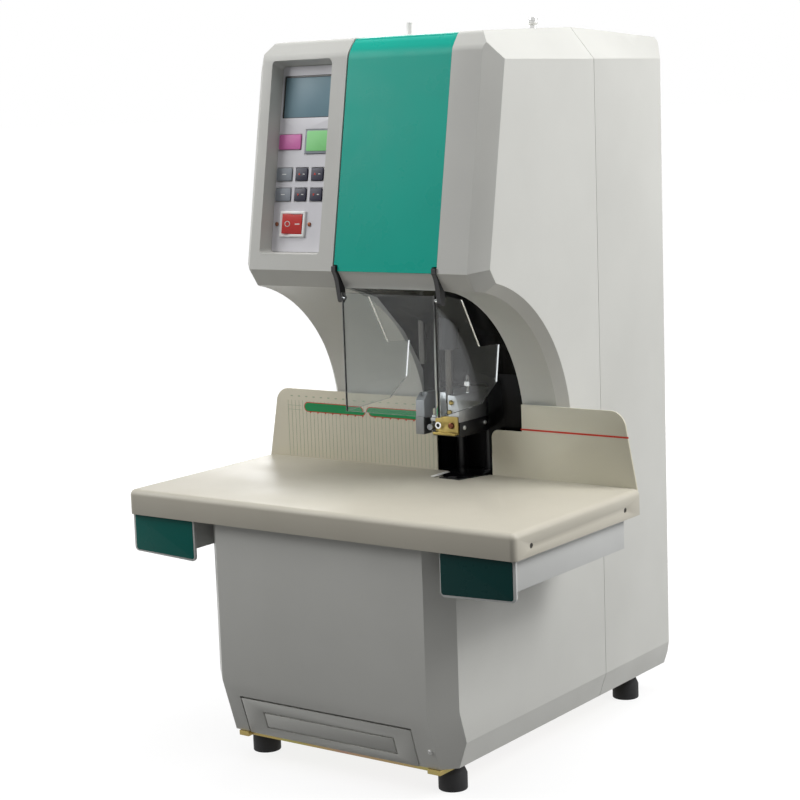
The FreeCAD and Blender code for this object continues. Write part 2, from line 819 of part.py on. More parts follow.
def centre_cover():
    """The head's front between its two sides, open at the back, with the lip under the chin."""
    body = new_body("centre_cover")
    face = HEAD_FRONT + D["cover_inset"]
    wall = D["cover_gauge"]
    top = D["body_top"] - 1
    brow = face + D["head_lean"]
    slab(body, "side_profile", "YZ", CHANNEL_LEFT + GAP, CHANNEL_RIGHT - GAP, [
        (CHIN_BACK, THROAT_CREST),
        (face, D["head_chin_z"]),
        (brow, BROW_Z),
        (brow + D["brow_back"], top),
        (SEAM, top + D["ridge_rise"]),
        (SEAM, top + D["ridge_rise"] - wall),
        (brow + D["brow_back"] + wall / 2, top - wall),
        (brow + wall, BROW_Z - wall / 3),
        (face + wall, D["head_chin_z"]),
        (CHIN_BACK + wall, THROAT_CREST + wall / 2),
    ])
    cut_bracket_notches(body)
    cut(body, "inlet_hole", "XY", top - wall - 1, top + D["ridge_rise"], circle(
        ARM_X, y_at("arm_axis_y"), TUBE_RADIUS + 1))
    return body


def cut_bracket_notches(body):
    """Opens the cover's lower corners for the guard's brackets."""
    width = GUARD_LEFT - CHANNEL_LEFT + GAP
    top = D["head_chin_z"] + BRACKET_RISE + 1
    cut(body, "bracket_notches", "XZ", HEAD_FRONT - BEYOND, CHIN_BACK + 20,
        rect(CHANNEL_LEFT - 1, THROAT_CREST - 20, CHANNEL_LEFT + width, top),
        rect(CHANNEL_RIGHT - width, THROAT_CREST - 20, CHANNEL_RIGHT + 1, top))


def centre_panel():
    """The thin coloured skin that wraps the centre cover."""
    body = new_body("centre_panel")
    face = HEAD_FRONT + D["cover_inset"]
    skin = D["skin"]
    top = D["body_top"] - 1
    brow = face + D["head_lean"]
    back = y_at(150)
    rise = (back - brow - D["brow_back"]) * D["ridge_rise"] / (SEAM - brow - D["brow_back"])
    slab(body, "side_profile", "YZ", CHANNEL_LEFT + GAP, CHANNEL_RIGHT - GAP, [
        (face, D["head_chin_z"]),
        (brow, BROW_Z),
        (brow + D["brow_back"], top),
        (back, top + rise),
        (back, top + rise + skin / 2),
        (brow + D["brow_back"] - skin / 3, top + skin / 2),
        (brow - skin, BROW_Z + skin / 3),
        (face - skin, D["head_chin_z"]),
    ])
    cut_bracket_notches(body)
    return body


def throat_cover():
    """The folded glossy sheet behind the press, with openings for the press and the quill."""
    body = new_body("throat_cover")
    gauge = D["sheet_gauge"]
    lower = THROAT - 1
    bend_low = (lower - 2, D["throat_axis_z"] + 60)
    bend_middle = (THROAT - 31, D["throat_axis_z"] + 102)
    bend_high = (THROAT - 73, D["throat_axis_z"] + 141)
    lip = (CHIN_BACK + 6, THROAT_CREST + 1)
    slab(body, "folds", "YZ", CHANNEL_LEFT + GAP, CHANNEL_RIGHT - GAP, [
        (lower, TABLE_LOW),
        bend_low,
        bend_middle,
        bend_high,
        lip,
        (lip[0] + gauge / 3, lip[1] + gauge),
        (bend_high[0] + gauge * 0.6, bend_high[1] + gauge * 0.8),
        (bend_middle[0] + gauge, bend_middle[1] + gauge * 0.5),
        (bend_low[0] + gauge, bend_low[1] + gauge * 0.3),
        (lower + gauge, TABLE_LOW),
    ])
    cut(body, "press_opening", "XZ", THROAT - 20, THROAT + 5, rect(
        D["fence_open_left"] - 1, TABLE_LOW - 1,
        D["clamp_right"] + 3.5, PRESS_TOP + PRESS_SLOT_MARGIN))
    half = D["anvil_rear_width"] / 2 + 1
    cut(body, "anvil_opening", "XZ", THROAT - 20, THROAT + 5, rect(
        ANVIL_X - half, TABLE_LOW - 1, ANVIL_X + half, D["table_top"] + D["anvil_proud"] + 1))
    cut(body, "quill_hole", "XY", D["quill_low_z"], D["quill_low_z"] + 60, circle(
        D["drill_x"], DRILL_Y, D["quill_radius"] + 1.5))
    cut(body, "tube_hole", "XY", D["quill_low_z"], D["quill_low_z"] + 60, circle(
        ARM_X, y_at("arm_axis_y"), TUBE_RADIUS + 0.1))
    return body


# ---------------------------------------------------------------------------------------------
# Base: plate, feet and waste drawer
# ---------------------------------------------------------------------------------------------

def base_plate():
    """The steel plate that everything stands on."""
    body = new_body("base_plate")
    bottom = D["body_bottom"] - D["plate_gauge"]
    front = y_at("base_front_y") + D["chin_slant"] - D["plate_proud"]
    rear = REAR - D["plate_rear_in"]
    notch = chin_y(D["waste_bottom"]) + 4
    slab(body, "plate", "XY", bottom, D["body_bottom"], [
        (D["plate_left"], front),
        (D["waste_left"] - D["waste_gap"], front),
        (D["waste_left"] - D["waste_gap"], notch),
        (D["waste_right"] + 11, notch),
        (D["waste_right"] + 11, front),
        (D["plate_right"], front),
        (D["plate_right"], rear),
        (D["plate_left"], rear),
    ])
    return body


def sill_inside(rise):
    """How far from the middle plane the shells' inner face is, at a height in the sill."""
    slope = D["sill_in"] / D["sill_rise"]
    return HALF_BODY - D["sill_in"] + rise * slope - D["wall"] * root(slope * slope + 1)


def housing_brackets():
    """Angle brackets that fix the two shells to the base plate, with webs along the sill."""
    found = []
    low = D["body_bottom"]
    gauge = 2.0
    web = D["sill_rise"] - 3
    outline = [
        (sill_inside(0) - 22, low),
        (sill_inside(0), low),
        (sill_inside(web), low + web),
        (sill_inside(web) - gauge, low + web),
        (sill_inside(gauge) - gauge, low + gauge),
        (sill_inside(0) - 22, low + gauge),
    ]
    for row, y in (("front", y_at(95)), ("middle", y_at(255)), ("rear", y_at(335))):
        for side, sign in (("left", -1), ("right", 1)):
            name = f"{row}_{side}_bracket"
            body = DOC.addObject("PartDesign::Body", name)
            slab(body, name + "_angle", "XZ", y, y + 18, [(sign * x, z) for x, z in outline])
            found.append(body)
    return keep("housing_brackets", group("housing_bracket_group", *found))


def feet():
    """Four rubber feet, straight below and tapered above."""
    top = D["body_bottom"] - D["plate_gauge"]
    straight = top * 0.62
    found = []
    for row, y in (("front", y_at("foot_front_y")), ("rear", y_at("foot_rear_y"))):
        for side, sign in (("left", -1), ("right", 1)):
            name = f"{row}_{side}_foot"
            x = sign * D["foot_x"]
            found.append(join(
                name,
                rod(name + "_pad", x, y, 0, D["foot_radius"], straight),
                cone(name + "_taper", x, y, straight, D["foot_radius"],
                     D["foot_radius"] - 4, top - straight),
            ))
    return keep("feet", group("foot_group", *found))


def chin_y(z):
    """The base's front face at a height in its slanted chin."""
    drop = D["body_bottom"] + D["chin_rise"] - z
    return y_at("base_front_y") + D["chin_slant"] * drop / D["chin_rise"]


def waste_drawer():
    """The drawer in the chin that catches the drilled-out paper."""
    body = new_body("waste_drawer")
    back = chin_y(D["waste_bottom"]) + 3
    floor = D["body_bottom"] + GAP
    slab(body, "tray", "XY", floor, D["waste_top"] - 4, rect(
        D["waste_left"] + 5, back - 1, D["waste_right"] - 5, back + D["waste_depth"]))

    def tray_top(face):
        return near(face.BoundBox.ZMin, D["waste_top"] - 4) and face.BoundBox.ZLength < 0.01

    hollow(body, "tray_hollow", D["tray_wall"], tray_top)
    slab(body, "front", "YZ", D["waste_left"], D["waste_right"], [
        (chin_y(D["waste_top"]), D["waste_top"]),
        (back, D["waste_top"]),
        (back, D["waste_bottom"]),
        (chin_y(D["waste_bottom"]), D["waste_bottom"]),
    ])
    left = D["waste_left"] + 24
    right = D["waste_right"] - 22
    low = D["waste_bottom"] + 9
    high = low + 18
    line = 1.6
    for name, x0, x1, z0, z1 in (
        ("groove_low", left, right, low, low + line),
        ("groove_high", left, right, high - line, high),
        ("groove_left", left, left + line, low, high),
        ("groove_right", right - line, right, low, high),
    ):
        cut(body, name, "YZ", x0, x1, [
            (chin_y(z1) - 3, z1), (chin_y(z1) + line, z1),
            (chin_y(z0) + line, z0), (chin_y(z0) - 3, z0)])
    return body


# ---------------------------------------------------------------------------------------------
# Table, fence, anvil and side drawers
# ---------------------------------------------------------------------------------------------

def table_plate():
    """The folded sheet table with its notch for the anvil."""
    body = new_body("table_plate")
    half = D["table_width"] / 2
    slab(body, "blank", "XY", TABLE_LOW, D["table_top"], rect(-half, FRONT, half, TABLE_REAR))

    def outer_edge(edge):
        box = edge.BoundBox
        rim = near(box.ZMin, D["table_top"]) and not near(box.YMin, TABLE_REAR)
        corner = box.ZLength > 5 and near(box.YMax, FRONT)
        return rim or corner

    soften(body, "rounded_rim", "Fillet", outer_edge, D["table_round"])

    def underside(face):
        return near(face.BoundBox.ZMax, TABLE_LOW)

    hollow(body, "folded", D["table_gauge"], underside)
    cut(body, "anvil_notch", "XY", D["table_top"] - 3, D["table_top"] + 1, anvil_outline(
        ANVIL_CLEARANCE, TABLE_REAR + 1))
    cut(body, "rear_notch", "XZ", TABLE_REAR - 5, TABLE_REAR + 1, rect(
        ANVIL_X - D["anvil_rear_width"] / 2 - ANVIL_CLEARANCE, ANVIL_LOW - 1,
        ANVIL_X + D["anvil_rear_width"] / 2 + ANVIL_CLEARANCE, D["table_top"] + 1))
    cut(body, "screw_holes", "YZ", -half - 1, half + 1,
        circle(y_at(27.4), TABLE_LOW + 9.5, TABLE_SCREW),
        circle(y_at(194.3), TABLE_LOW + 9.5, TABLE_SCREW))
    return body


def anvil_outline(clearance, rear):
    """The tapered plan of the anvil's tongue."""
    front = y_at("anvil_front_y") - clearance
    narrow = D["anvil_front_width"] / 2 + clearance
    wide = D["anvil_rear_width"] / 2 + clearance
    return [
        (ANVIL_X - narrow, front),
        (ANVIL_X + narrow, front),
        (ANVIL_X + wide, TABLE_REAR),
        (ANVIL_X + wide, rear),
        (ANVIL_X - wide, rear),
        (ANVIL_X - wide, TABLE_REAR),
    ]


def case_screws():
    """The small screws in the table's sides and beside the power switch."""
    half = D["table_width"] / 2
    face = D["film"] - D["panel_depth"]
    found = []
    for side, x in (("left", -half + 0.2), ("right", half - 6.2)):
        for row, y in (("front", y_at(27.4)), ("rear", y_at(194.3))):
            found.append(rod(f"{side}_{row}_screw", x, y, TABLE_LOW + 9.5,
                             TABLE_SCREW - 0.1, 6, "X"))
    for name, x in (("left_panel_screw", SWITCH_X - 20.5), ("right_panel_screw", SWITCH_X + 20.5)):
        screw = DOC.addObject("PartDesign::Body", name)
        slab(screw, name + "_head", "FACE", face, face + 1.2, circle(x, SWITCH_V, 2.2))
        found.append(screw)
    return keep("case_screws", group("case_screw_group", *found))


def table_bearers():
    """Two channels that carry the table on the base."""
    found = []
    half = HALF_BODY - 2
    top = D["table_top"] - D["table_gauge"]
    for name, y in (("front_bearer", y_at(60)), ("rear_bearer", y_at(150))):
        outer = block(name + "_outer", -half, half, y, y + 25, TABLE_LOW, top)
        inner = block(name + "_inner", -half - 1, half + 1, y + 2, y + 23, TABLE_LOW + 2, top - 2)
        side = block(name + "_side", -half - 1, half + 1, y + 20, y + 26, TABLE_LOW + 2, top - 2)
        found.append(carve(name, outer, inner, side))
    return keep("table_bearers", group("bearer_group", *found))


def fence():
    """The back gauge: an upright plate with an opening for the press."""
    body = new_body("fence")
    foot = D["table_width"] / 2 - 2.5
    low = TABLE_LOW + 0.5
    table = D["table_top"]
    top = table + D["fence_rise"]
    ledge = table + D["fence_ledge"]
    corner = D["fence_corner"]
    lean = 11.0
    slot = ANVIL_LOW - 1
    slab(body, "plate", "XZ", TABLE_REAR, TABLE_REAR + D["fence_gauge"], [
        (-foot, low),
        (foot, low),
        (foot, table),
        (foot - lean, top - corner),
        (foot - lean - corner, top, corner * 1.08),
        (D["fence_ledge_right"], top),
        (D["fence_ledge_right"], ledge),
        (D["fence_open_right"] + 8, ledge),
        (D["fence_open_right"], ledge - 8, 8),
        (D["fence_open_right"], slot),
        (D["fence_open_left"], slot),
        (D["fence_open_left"], top),
        (corner - foot + lean, top),
        (lean - foot, top - corner, corner * 1.08),
        (-foot, table),
    ])
    return body


def anvil():
    """The black anvil: a tapered tongue in the table and the bed that the frame carries."""
    body = new_body("anvil")
    top = D["table_top"] + D["anvil_proud"]
    bed_front = y_at("frame_front_y")
    bed_top = D["table_top"] - BED_TOP_DROP
    slab(body, "tongue", "XY", ANVIL_LOW, top, anvil_outline(0, bed_front + 4))
    slab(body, "bed", "XY", D["bed_low_z"], bed_top, rect(
        FRAME_INNER_LEFT, bed_front, FRAME_INNER_RIGHT, y_at("frame_rear_y")))
    cut(body, "rod_seats", "XY", D["rod_low_z"], bed_top + 1,
        circle(D["drill_x"] - D["rod_spread"], ROD_Y, D["rod_radius"] + SLIDE_FIT),
        circle(D["drill_x"] + D["rod_spread"], ROD_Y, D["rod_radius"] + SLIDE_FIT))
    cut(body, "screw_bore", "XY", D["bed_low_z"] - 1, bed_top + 1, circle(
        D["drill_x"], ROD_Y, D["press_screw_radius"] + 1.5))
    cut(body, "pad_seat", "XY", top - PAD_THICK, top + 1, circle(
        D["drill_x"], DRILL_Y, PAD_RADIUS + 0.02))
    cut(body, "chip_hole", "XY", ANVIL_LOW - 1, top, circle(
        D["drill_x"], DRILL_Y, D["drill_radius"] + 0.5))
    return body


def drill_pad():
    """The replaceable pad that the drill runs out into."""
    top = D["table_top"] + D["anvil_proud"]
    return keep("drill_pad", rod("pad", D["drill_x"], DRILL_Y, top - PAD_THICK,
                                 PAD_RADIUS, PAD_THICK))


def side_drawer(label, side):
    """A drawer that hangs under one side of the table."""
    body = new_body(label)
    top = TABLE_LOW - GAP
    low = top - D["drawer_height"]
    wall = D["tray_wall"]
    near_x = D["drawer_inner"]
    far_x = D["drawer_inner"] + D["drawer_width"]
    front = y_at("drawer_front_y")
    rear = front + D["drawer_length"]
    slab(body, "box", "XY", low, top, spread(side, near_x, far_x, front, rear))

    def box_top(face):
        return near(face.BoundBox.ZMin, top) and face.BoundBox.ZLength < 0.01

    hollow(body, "box_hollow", wall, box_top)
    slab(body, "flanges", "XZ", front + wall, rear,
         spread(side, near_x + wall, near_x + wall + 4, top - wall, top),
         spread(side, far_x - wall - 4, far_x - wall, top - wall, top))
    cut(body, "low_back", "XZ", rear - wall - 1, rear + 1, spread(
        side, near_x + wall, far_x - wall, top - 6, top + 1))
    return body


def spread(side, x0, x1, y0, y1):
    """A rectangle on one side of the machine, given by its distances from the middle plane."""
    return rect(side * x0, y0, side * x1, y1) if side > 0 else rect(-x1, y0, -x0, y1)


def drawer_label(label, side):
    """The coloured front plate of a side drawer, bare of any print."""
    body = new_body(label)
    top = TABLE_LOW - GAP
    low = top - D["drawer_label_height"]
    high = low + D["drawer_label_rise"]
    inner = side * (D["drawer_inner"] - D["drawer_label_overlap"])
    outer = inner + side * D["drawer_label_width"]
    back = y_at("drawer_front_y")
    radius = D["drawer_label_corner"]
    step = side * radius
    slab(body, "plate", "XZ", back - D["drawer_label_gauge"], back, [
        (inner, top),
        (inner, low + radius),
        (inner + step, low, side * radius),
        (outer - step, high),
        (outer, high + radius, side * radius),
        (outer, top),
    ])
    return body


def drawer_rails():
    """Four hanger rails under the table; a drawer's flanges run on their lips."""
    found = []
    top = D["table_top"] - D["table_gauge"]
    lip_top = TABLE_LOW - GAP - D["tray_wall"] - GAP
    wall = D["tray_wall"]
    near_x = D["drawer_inner"] + wall
    far_x = D["drawer_inner"] + D["drawer_width"] - wall
    front = y_at("drawer_front_y") + 5
    rear = front + D["drawer_length"] - 8
    for side_name, side in (("left", -1), ("right", 1)):
        for row, lip0, lip1, web0, web1 in (
            ("inner", near_x + 0.5, near_x + 7.5, near_x + 5.5, near_x + 7.5),
            ("outer", far_x - 7.5, far_x - 0.5, far_x - 7.5, far_x - 5.5),
        ):
            name = f"{side_name}_{row}_rail"
            ends = [(lip0, lip1), (web0, web1)]
            if side < 0:
                ends = [(-b, -a) for a, b in ends]
            lip = block(name + "_lip", *ends[0], front, rear, lip_top - 2, lip_top)
            web = block(name + "_web", *ends[1], front, rear, lip_top - 2, top)
            found.append(join(name, lip, web))
    return keep("drawer_rails", group("rail_group", *found))


# ---------------------------------------------------------------------------------------------
# Frame and drives
# ---------------------------------------------------------------------------------------------

def frame_plate(name, x0):
    """One of the two C-shaped plates that carry the bed and the head."""
    body = DOC.addObject("PartDesign::Body", name)
    front = y_at("frame_front_y")
    rear = y_at("frame_rear_y")
    arm_front = CHIN_BACK + 42
    bed_top = D["table_top"] - BED_TOP_DROP
    slab(body, "plate", "YZ", x0, x0 + D["frame_gauge"], [
        (y_at(212), D["body_bottom"]),
        (y_at(400), D["body_bottom"]),
        (y_at(400), D["body_bottom"] + 20),
        (rear, D["body_bottom"] + 90),
        (rear, D["body_top"] - 12),
        (arm_front + 22, D["body_top"] - 12),
        (arm_front, D["body_top"] - 80),
        (arm_front, THROAT_CREST + 18),
        (arm_front + 30, THROAT_CREST + 10),
        (front, THROAT_CREST - 40),
        (front, bed_top),
        (front - 1, TABLE_LOW - D["wall"]),
        (y_at(120), TABLE_LOW - D["wall"]),
        (y_at(120), TABLE_LOW - 20),
        (front, TABLE_LOW - 60),
        (front, D["body_bottom"] + 60),
        (y_at(212), D["body_bottom"] + 40),
    ])
    cut(body, "lightening", "YZ", x0 - 1, x0 + D["frame_gauge"] + 1,
        circle(ROD_Y + 4, D["body_bottom"] + 120, 14),
        circle(ROD_Y - 60, THROAT_CREST + 150, 22),
        circle(ROD_Y - 40, THROAT_CREST + 70, 22))
    return body


def frame_plates():
    """Both C-shaped plates of the frame."""
    return keep("frame_plates", group(
        "frame_plate_group",
        frame_plate("left_frame_plate", D["frame_left"]),
        frame_plate("right_frame_plate", D["frame_right"] - D["frame_gauge"])))


def head_beam():
    """The cross block on the rods' upper ends, with the frame's back sheet under it."""
    beam = block("beam_block", FRAME_INNER_LEFT, FRAME_INNER_RIGHT, ROD_Y - 22, ROD_Y + 28,
                 D["beam_low_z"], D["rod_high_z"])
    back = block("back_sheet", FRAME_INNER_LEFT, FRAME_INNER_RIGHT, ROD_Y + 21,
                 ROD_Y + 21 + D["back_gauge"], D["table_top"] - BED_TOP_DROP + GAP,
                 D["beam_low_z"] + 1)
    base = join("beam_and_back", beam, back)
    length = D["rod_high_z"] - D["beam_low_z"] + 2
    tools = [rod(f"beam_bore_{n}", D["drill_x"] + offset, ROD_Y, D["beam_low_z"] - 1, radius, length)
             for n, (offset, radius) in enumerate((
                 (-D["rod_spread"], D["rod_radius"] + SLIDE_FIT),
                 (D["rod_spread"], D["rod_radius"] + SLIDE_FIT),
                 (as_size(0), D["feed_screw_radius"] + 2)))]
    return keep("head_beam", carve("beam_cut", base, *tools))


def guide_rods():
    """Two ground rods that both carriages slide on."""
    height = D["rod_high_z"] - D["rod_low_z"]
    found = [rod(name, D["drill_x"] + sign * D["rod_spread"], ROD_Y, D["rod_low_z"],
                 D["rod_radius"], height)
             for name, sign in (("left_rod", -1), ("right_rod", 1))]
    return keep("guide_rods", group("rod_group", *found))


def press_motor():
    """The motor under the bed that turns the press screw."""
    size = D["motor_size"]
    flange = block("motor_flange", D["drill_x"] - size / 2, D["drill_x"] + size / 2,
                   ROD_Y - size / 2, ROD_Y + size / 2, D["bed_low_z"] - 5, D["bed_low_z"])
    can = rod("motor_can", D["drill_x"], ROD_Y, D["bed_low_z"] - 85, size / 2 - 2, 80)
    cap = rod("motor_cap", D["drill_x"], ROD_Y, D["bed_low_z"] - 92, size / 2 - 8, 7)
    bore = rod("motor_bore", D["drill_x"], ROD_Y, D["bed_low_z"] - 40,
               D["press_screw_radius"] + RUNNING_FIT, 41)
    return keep("press_motor", carve("press_motor_cut", join("motor_body", flange, can, cap), bore))


def press_screw():
    """The screw that lowers the press."""
    shaft = rod("press_shaft", D["drill_x"], ROD_Y, D["bed_low_z"] - 38,
                D["press_screw_radius"], 205 + 38)
    collar = rod("press_collar", D["drill_x"], ROD_Y, D["table_top"] - BED_TOP_DROP + GAP,
                 D["press_screw_radius"] + 3, 4)
    return keep("press_screw", join("press_screw_body", shaft, collar))


def press_carriage():
    """The block that slides on the rods and carries the clamp and the tube arm."""
    return keep("press_carriage", carriage(
        "press", D["clamp_low_z"], PRESS_TOP - 2, D["press_screw_radius"]))


def carriage(name, low, high, screw_radius, *extras):
    """A sliding block with its bearing bosses and bores."""
    front = y_at("carriage_front_y")
    side = D["rod_spread"] + 10
    body = block(name + "_block", D["drill_x"] - side, D["drill_x"] + side, front,
                 ROD_Y + 16, low, high)
    left = D["drill_x"] - D["rod_spread"]
    right = D["drill_x"] + D["rod_spread"]
    bosses = [rod(f"{name}_boss_{n}", x, ROD_Y, low - 5, D["rod_radius"] + 5, high - low + 10)
              for n, x in enumerate((left, right))]
    bores = [rod(f"{name}_bore_{n}", x, ROD_Y, low - 6, radius, high - low + 12)
             for n, (x, radius) in enumerate((
                 (left, D["rod_radius"] + SLIDE_FIT),
                 (right, D["rod_radius"] + SLIDE_FIT),
                 (D["drill_x"], screw_radius + RUNNING_FIT)))]
    return carve(name + "_carriage_cut", join(name + "_carriage_body", body, *bosses, *extras),
                 *bores)


def clamp_block():
    """The aluminium clamp arm: sloped shoulders, guide bore and the notch for the drill."""
    body = new_body("clamp_block")
    low = D["clamp_low_z"] + D["clamp_foot_height"]
    top = low + D["clamp_block_height"]
    slab(body, "arm", "XZ", y_at("clamp_front_y"), y_at("carriage_front_y"), [
        (D["clamp_left"], low),
        (D["clamp_right"], low),
        (D["clamp_right"], low + 14),
        (D["clamp_right"] - 4, top),
        (D["clamp_left"] + 3, top),
        (D["clamp_left"], top - 4),
    ])
    cut(body, "guide_bore", "XY", low - 1, top + 1, circle(
        D["drill_x"], DRILL_Y, D["drill_radius"] + 1.2))
    cut(body, "drill_notch", "XY", low + D["notch_floor"], top + 1, rect(
        D["clamp_left"] - 1, y_at("clamp_front_y") - 1,
        D["drill_x"] + D["notch_side"], DRILL_Y + D["notch_back"]))
    return body


def clamp_foot():
    """The black shoe that presses on the paper."""
    body = new_body("clamp_foot")
    low = D["clamp_low_z"]
    top = low + D["clamp_foot_height"]
    slab(body, "shoe", "YZ", D["clamp_left"], D["clamp_right"], [
        (y_at("clamp_front_y") + 2, top),
        (y_at("clamp_front_y") + 2, low + 2),
        (y_at("clamp_front_y") + 4, low),
        (y_at("carriage_front_y") - 8, low),
        (y_at("carriage_front_y") - 6, low + 2),
        (y_at("carriage_front_y") - 6, top),
    ])
    cut(body, "drill_bore", "XY", low - 1, top + 1, circle(
        D["drill_x"], DRILL_Y, D["drill_radius"] + 1.2))
    return body


def tube_arm():
    """The left arm of the press head: a post with a bore for the binding tube."""
    body = new_body("tube_arm")
    front = y_at("clamp_front_y")
    back = y_at("carriage_front_y")
    low = D["clamp_low_z"] + 0.5
    top = PRESS_TOP
    slab(body, "arm", "YZ", D["arm_left"], D["arm_right"], [
        (front, low),
        (front + 14, low),
        (front + 14, top - 17),
        (back, top - 17),
        (back, top),
        (front + 7, top),
        (front, top - 7),
    ])
    cut(body, "tube_bore", "XY", low - 1, top + 1, circle(ARM_X, y_at("arm_axis_y"), TUBE_BORE))
    return body


def brass_bracket():
    """The angle bracket on the clamp's front."""
    body = new_body("brass_bracket")
    front = y_at("clamp_front_y")
    low = D["clamp_low_z"] + 3
    left = D["clamp_left"] + 7.5
    slab(body, "angle", "YZ", left, D["clamp_right"], [
        (front, low),
        (front, low + 18),
        (front - 2.5, low + 18),
        (front - 2.5, low + 2.5),
        (front - 8, low + 2.5),
        (front - 8, low),
    ])
    cut(body, "holes", "XZ", front - 3, front + 1,
        circle(left + 5, low + 9, 1.6), circle(left + 19, low + 9, 1.6))
    return body


def head_screws():
    """The small screws of the press head, and the knurled stop screw."""
    front = y_at("clamp_front_y")
    low = D["clamp_low_z"]
    left = D["clamp_left"]
    right = D["clamp_right"]
    block_top = PRESS_TOP
    found = [
        rod("stop_knob", left + 4, front + 2, low + 10, 3.2, 10, "-Y"),
        rod("bracket_screw_left", left + 12.5, front - 2.5, low + 12, 3.6, 3, "-Y"),
        rod("bracket_screw_right", left + 26.5, front - 2.5, low + 12, 3, 2.2, "-Y"),
        rod("block_screw_high", left + 26, front, low + 35, 2.6, 2.5, "-Y"),
        rod("block_screw_low", left + 24, front, low + 25.5, 2.2, 2.5, "-Y"),
        rod("shoe_screw_front", right, front + 9, low + 9, 2.2, 1.5, "X"),
        rod("shoe_screw_rear", right, front + 46, low + 9, 2.2, 1.5, "X"),
        join("height_stud",
             rod("stud_shaft", right - 5, front + 24, block_top, 2, 18),
             rod("stud_nut", right - 5, front + 24, block_top + 7, 3.5, 5)),
    ]
    return keep("head_screws", group("head_screw_group", *found))


def drill_carriage():
    """The drill's slide: bearing block, motor arm and the quill that holds the spindle."""
    low = D["drill_block_low_z"]
    high = low + D["drill_block_height"]
    x = D["drill_x"]
    front = y_at("carriage_front_y")
    arm = block("motor_arm", x - 24, x + 24, MOTOR_Y - 24, front + 1, high - 15, high)
    web = block("quill_web", x - D["quill_radius"], x + D["quill_radius"], DRILL_Y, front + 1,
                low, low + 20)
    quill = rod("quill", x, DRILL_Y, D["quill_low_z"], D["quill_radius"],
                low + 20 - D["quill_low_z"])
    body = carriage("drill", low, high, D["feed_screw_radius"], arm, web, quill)
    spindle_bore = rod("spindle_bore", x, DRILL_Y, D["quill_low_z"] - 1,
                       D["spindle_radius"] + RUNNING_FIT, low + 22 - D["quill_low_z"])
    motor_bore = rod("motor_arm_bore", x, MOTOR_Y, high - 16, 5, 17)
    return keep("drill_carriage", carve("drill_carriage_bored", body, spindle_bore, motor_bore))


def drill_motor():
    """The motor that drives the drill's belt."""
    low = D["drill_block_low_z"] + D["drill_block_height"]
    can = rod("drill_motor_can", D["drill_x"], MOTOR_Y, low, 19, 58)
    cap = rod("drill_motor_cap", D["drill_x"], MOTOR_Y, low + 58, 12, 6)
    rim = rod("drill_motor_rim", D["drill_x"], MOTOR_Y, low, 21, 4)
    bore = rod("drill_motor_bore", D["drill_x"], MOTOR_Y, low - 1, 2.5 + RUNNING_FIT, 22)
    return keep("drill_motor", carve("drill_motor_cut", join("drill_motor_body", can, cap, rim),
                                     bore))


def drill_spindle():
    """The spindle and the hollow drill below it."""
    x = D["drill_x"]
    quill_low = D["quill_low_z"]
    tip = D["clamp_low_z"] + 1
    journal = rod("journal", x, DRILL_Y, quill_low, D["spindle_radius"],
                  PULLEY_LOW + PULLEY_HEIGHT - quill_low)
    neck = rod("neck", x, DRILL_Y, tip + 32, D["drill_radius"] + 0.5, quill_low - tip - 32)
    bit = rod("bit", x, DRILL_Y, tip, D["drill_radius"], 32)
    hollow_bore = rod("bit_bore", x, DRILL_Y, tip - 1, D["drill_radius"] - 0.8, 60)
    return keep("drill_spindle", carve("spindle_cut", join("spindle_body", journal, neck, bit),
                                       hollow_bore))


def pulley(label, y, bore, shaft_length):
    """A flanged belt pulley; the motor's has its shaft with it."""
    x = D["drill_x"]
    radius = D["pulley_radius"]
    rim = rod(label + "_rim", x, y, PULLEY_LOW, radius, PULLEY_HEIGHT)
    low = rod(label + "_low_flange", x, y, PULLEY_LOW, radius + 1.5, 1.7)
    high = rod(label + "_high_flange", x, y, PULLEY_LOW + PULLEY_HEIGHT - 1.7, radius + 1.5, 1.7)
    parts = [rim, low, high]
    if shaft_length:
        parts.append(rod(label + "_shaft", x, y, PULLEY_LOW, 2.5, shaft_length))
        return keep(label, join(label + "_body", *parts))
    hole = rod(label + "_hole", x, y, PULLEY_LOW - 1, bore, PULLEY_HEIGHT + 2)
    return keep(label, carve(label + "_cut", join(label + "_body", *parts), hole))


def belt_loop(name, radius, low, height):
    """A loop around both pulleys, filled in."""
    x = D["drill_x"]
    return join(
        name,
        rod(name + "_front", x, MOTOR_Y, low, radius, height),
        rod(name + "_rear", x, DRILL_Y, low, radius, height),
        block(name + "_middle", x - radius, x + radius, MOTOR_Y, DRILL_Y, low, low + height))


def drill_belt():
    """The flat belt round the two pulleys."""
    inner = D["pulley_radius"] + GAP
    low = PULLEY_LOW + 1.7 + GAP
    height = PULLEY_HEIGHT - 2 * (1.7 + GAP)
    return keep("drill_belt", carve(
        "belt_cut", belt_loop("belt_outside", inner + 1.5, low, height),
        belt_loop("belt_inside", inner, low - 1, height + 2)))


def feed_screw():
    """The screw that feeds the drill carriage."""
    low = D["drill_block_low_z"] - D["drill_travel"] - 8
    return keep("feed_screw", rod("feed_shaft", D["drill_x"], ROD_Y, low,
                                  D["feed_screw_radius"], D["rod_high_z"] + 6 - low))


def feed_motor():
    """The square motor on the head beam."""
    size = D["feed_motor_size"]
    base = D["rod_high_z"]
    can = block("feed_can", D["drill_x"] - size / 2, D["drill_x"] + size / 2,
                ROD_Y - size / 2, ROD_Y + size / 2, base, base + 38)
    bore = rod("feed_bore", D["drill_x"], ROD_Y, base - 1, D["feed_screw_radius"] + RUNNING_FIT, 9)
    return keep("feed_motor", carve("feed_motor_cut", can, bore))


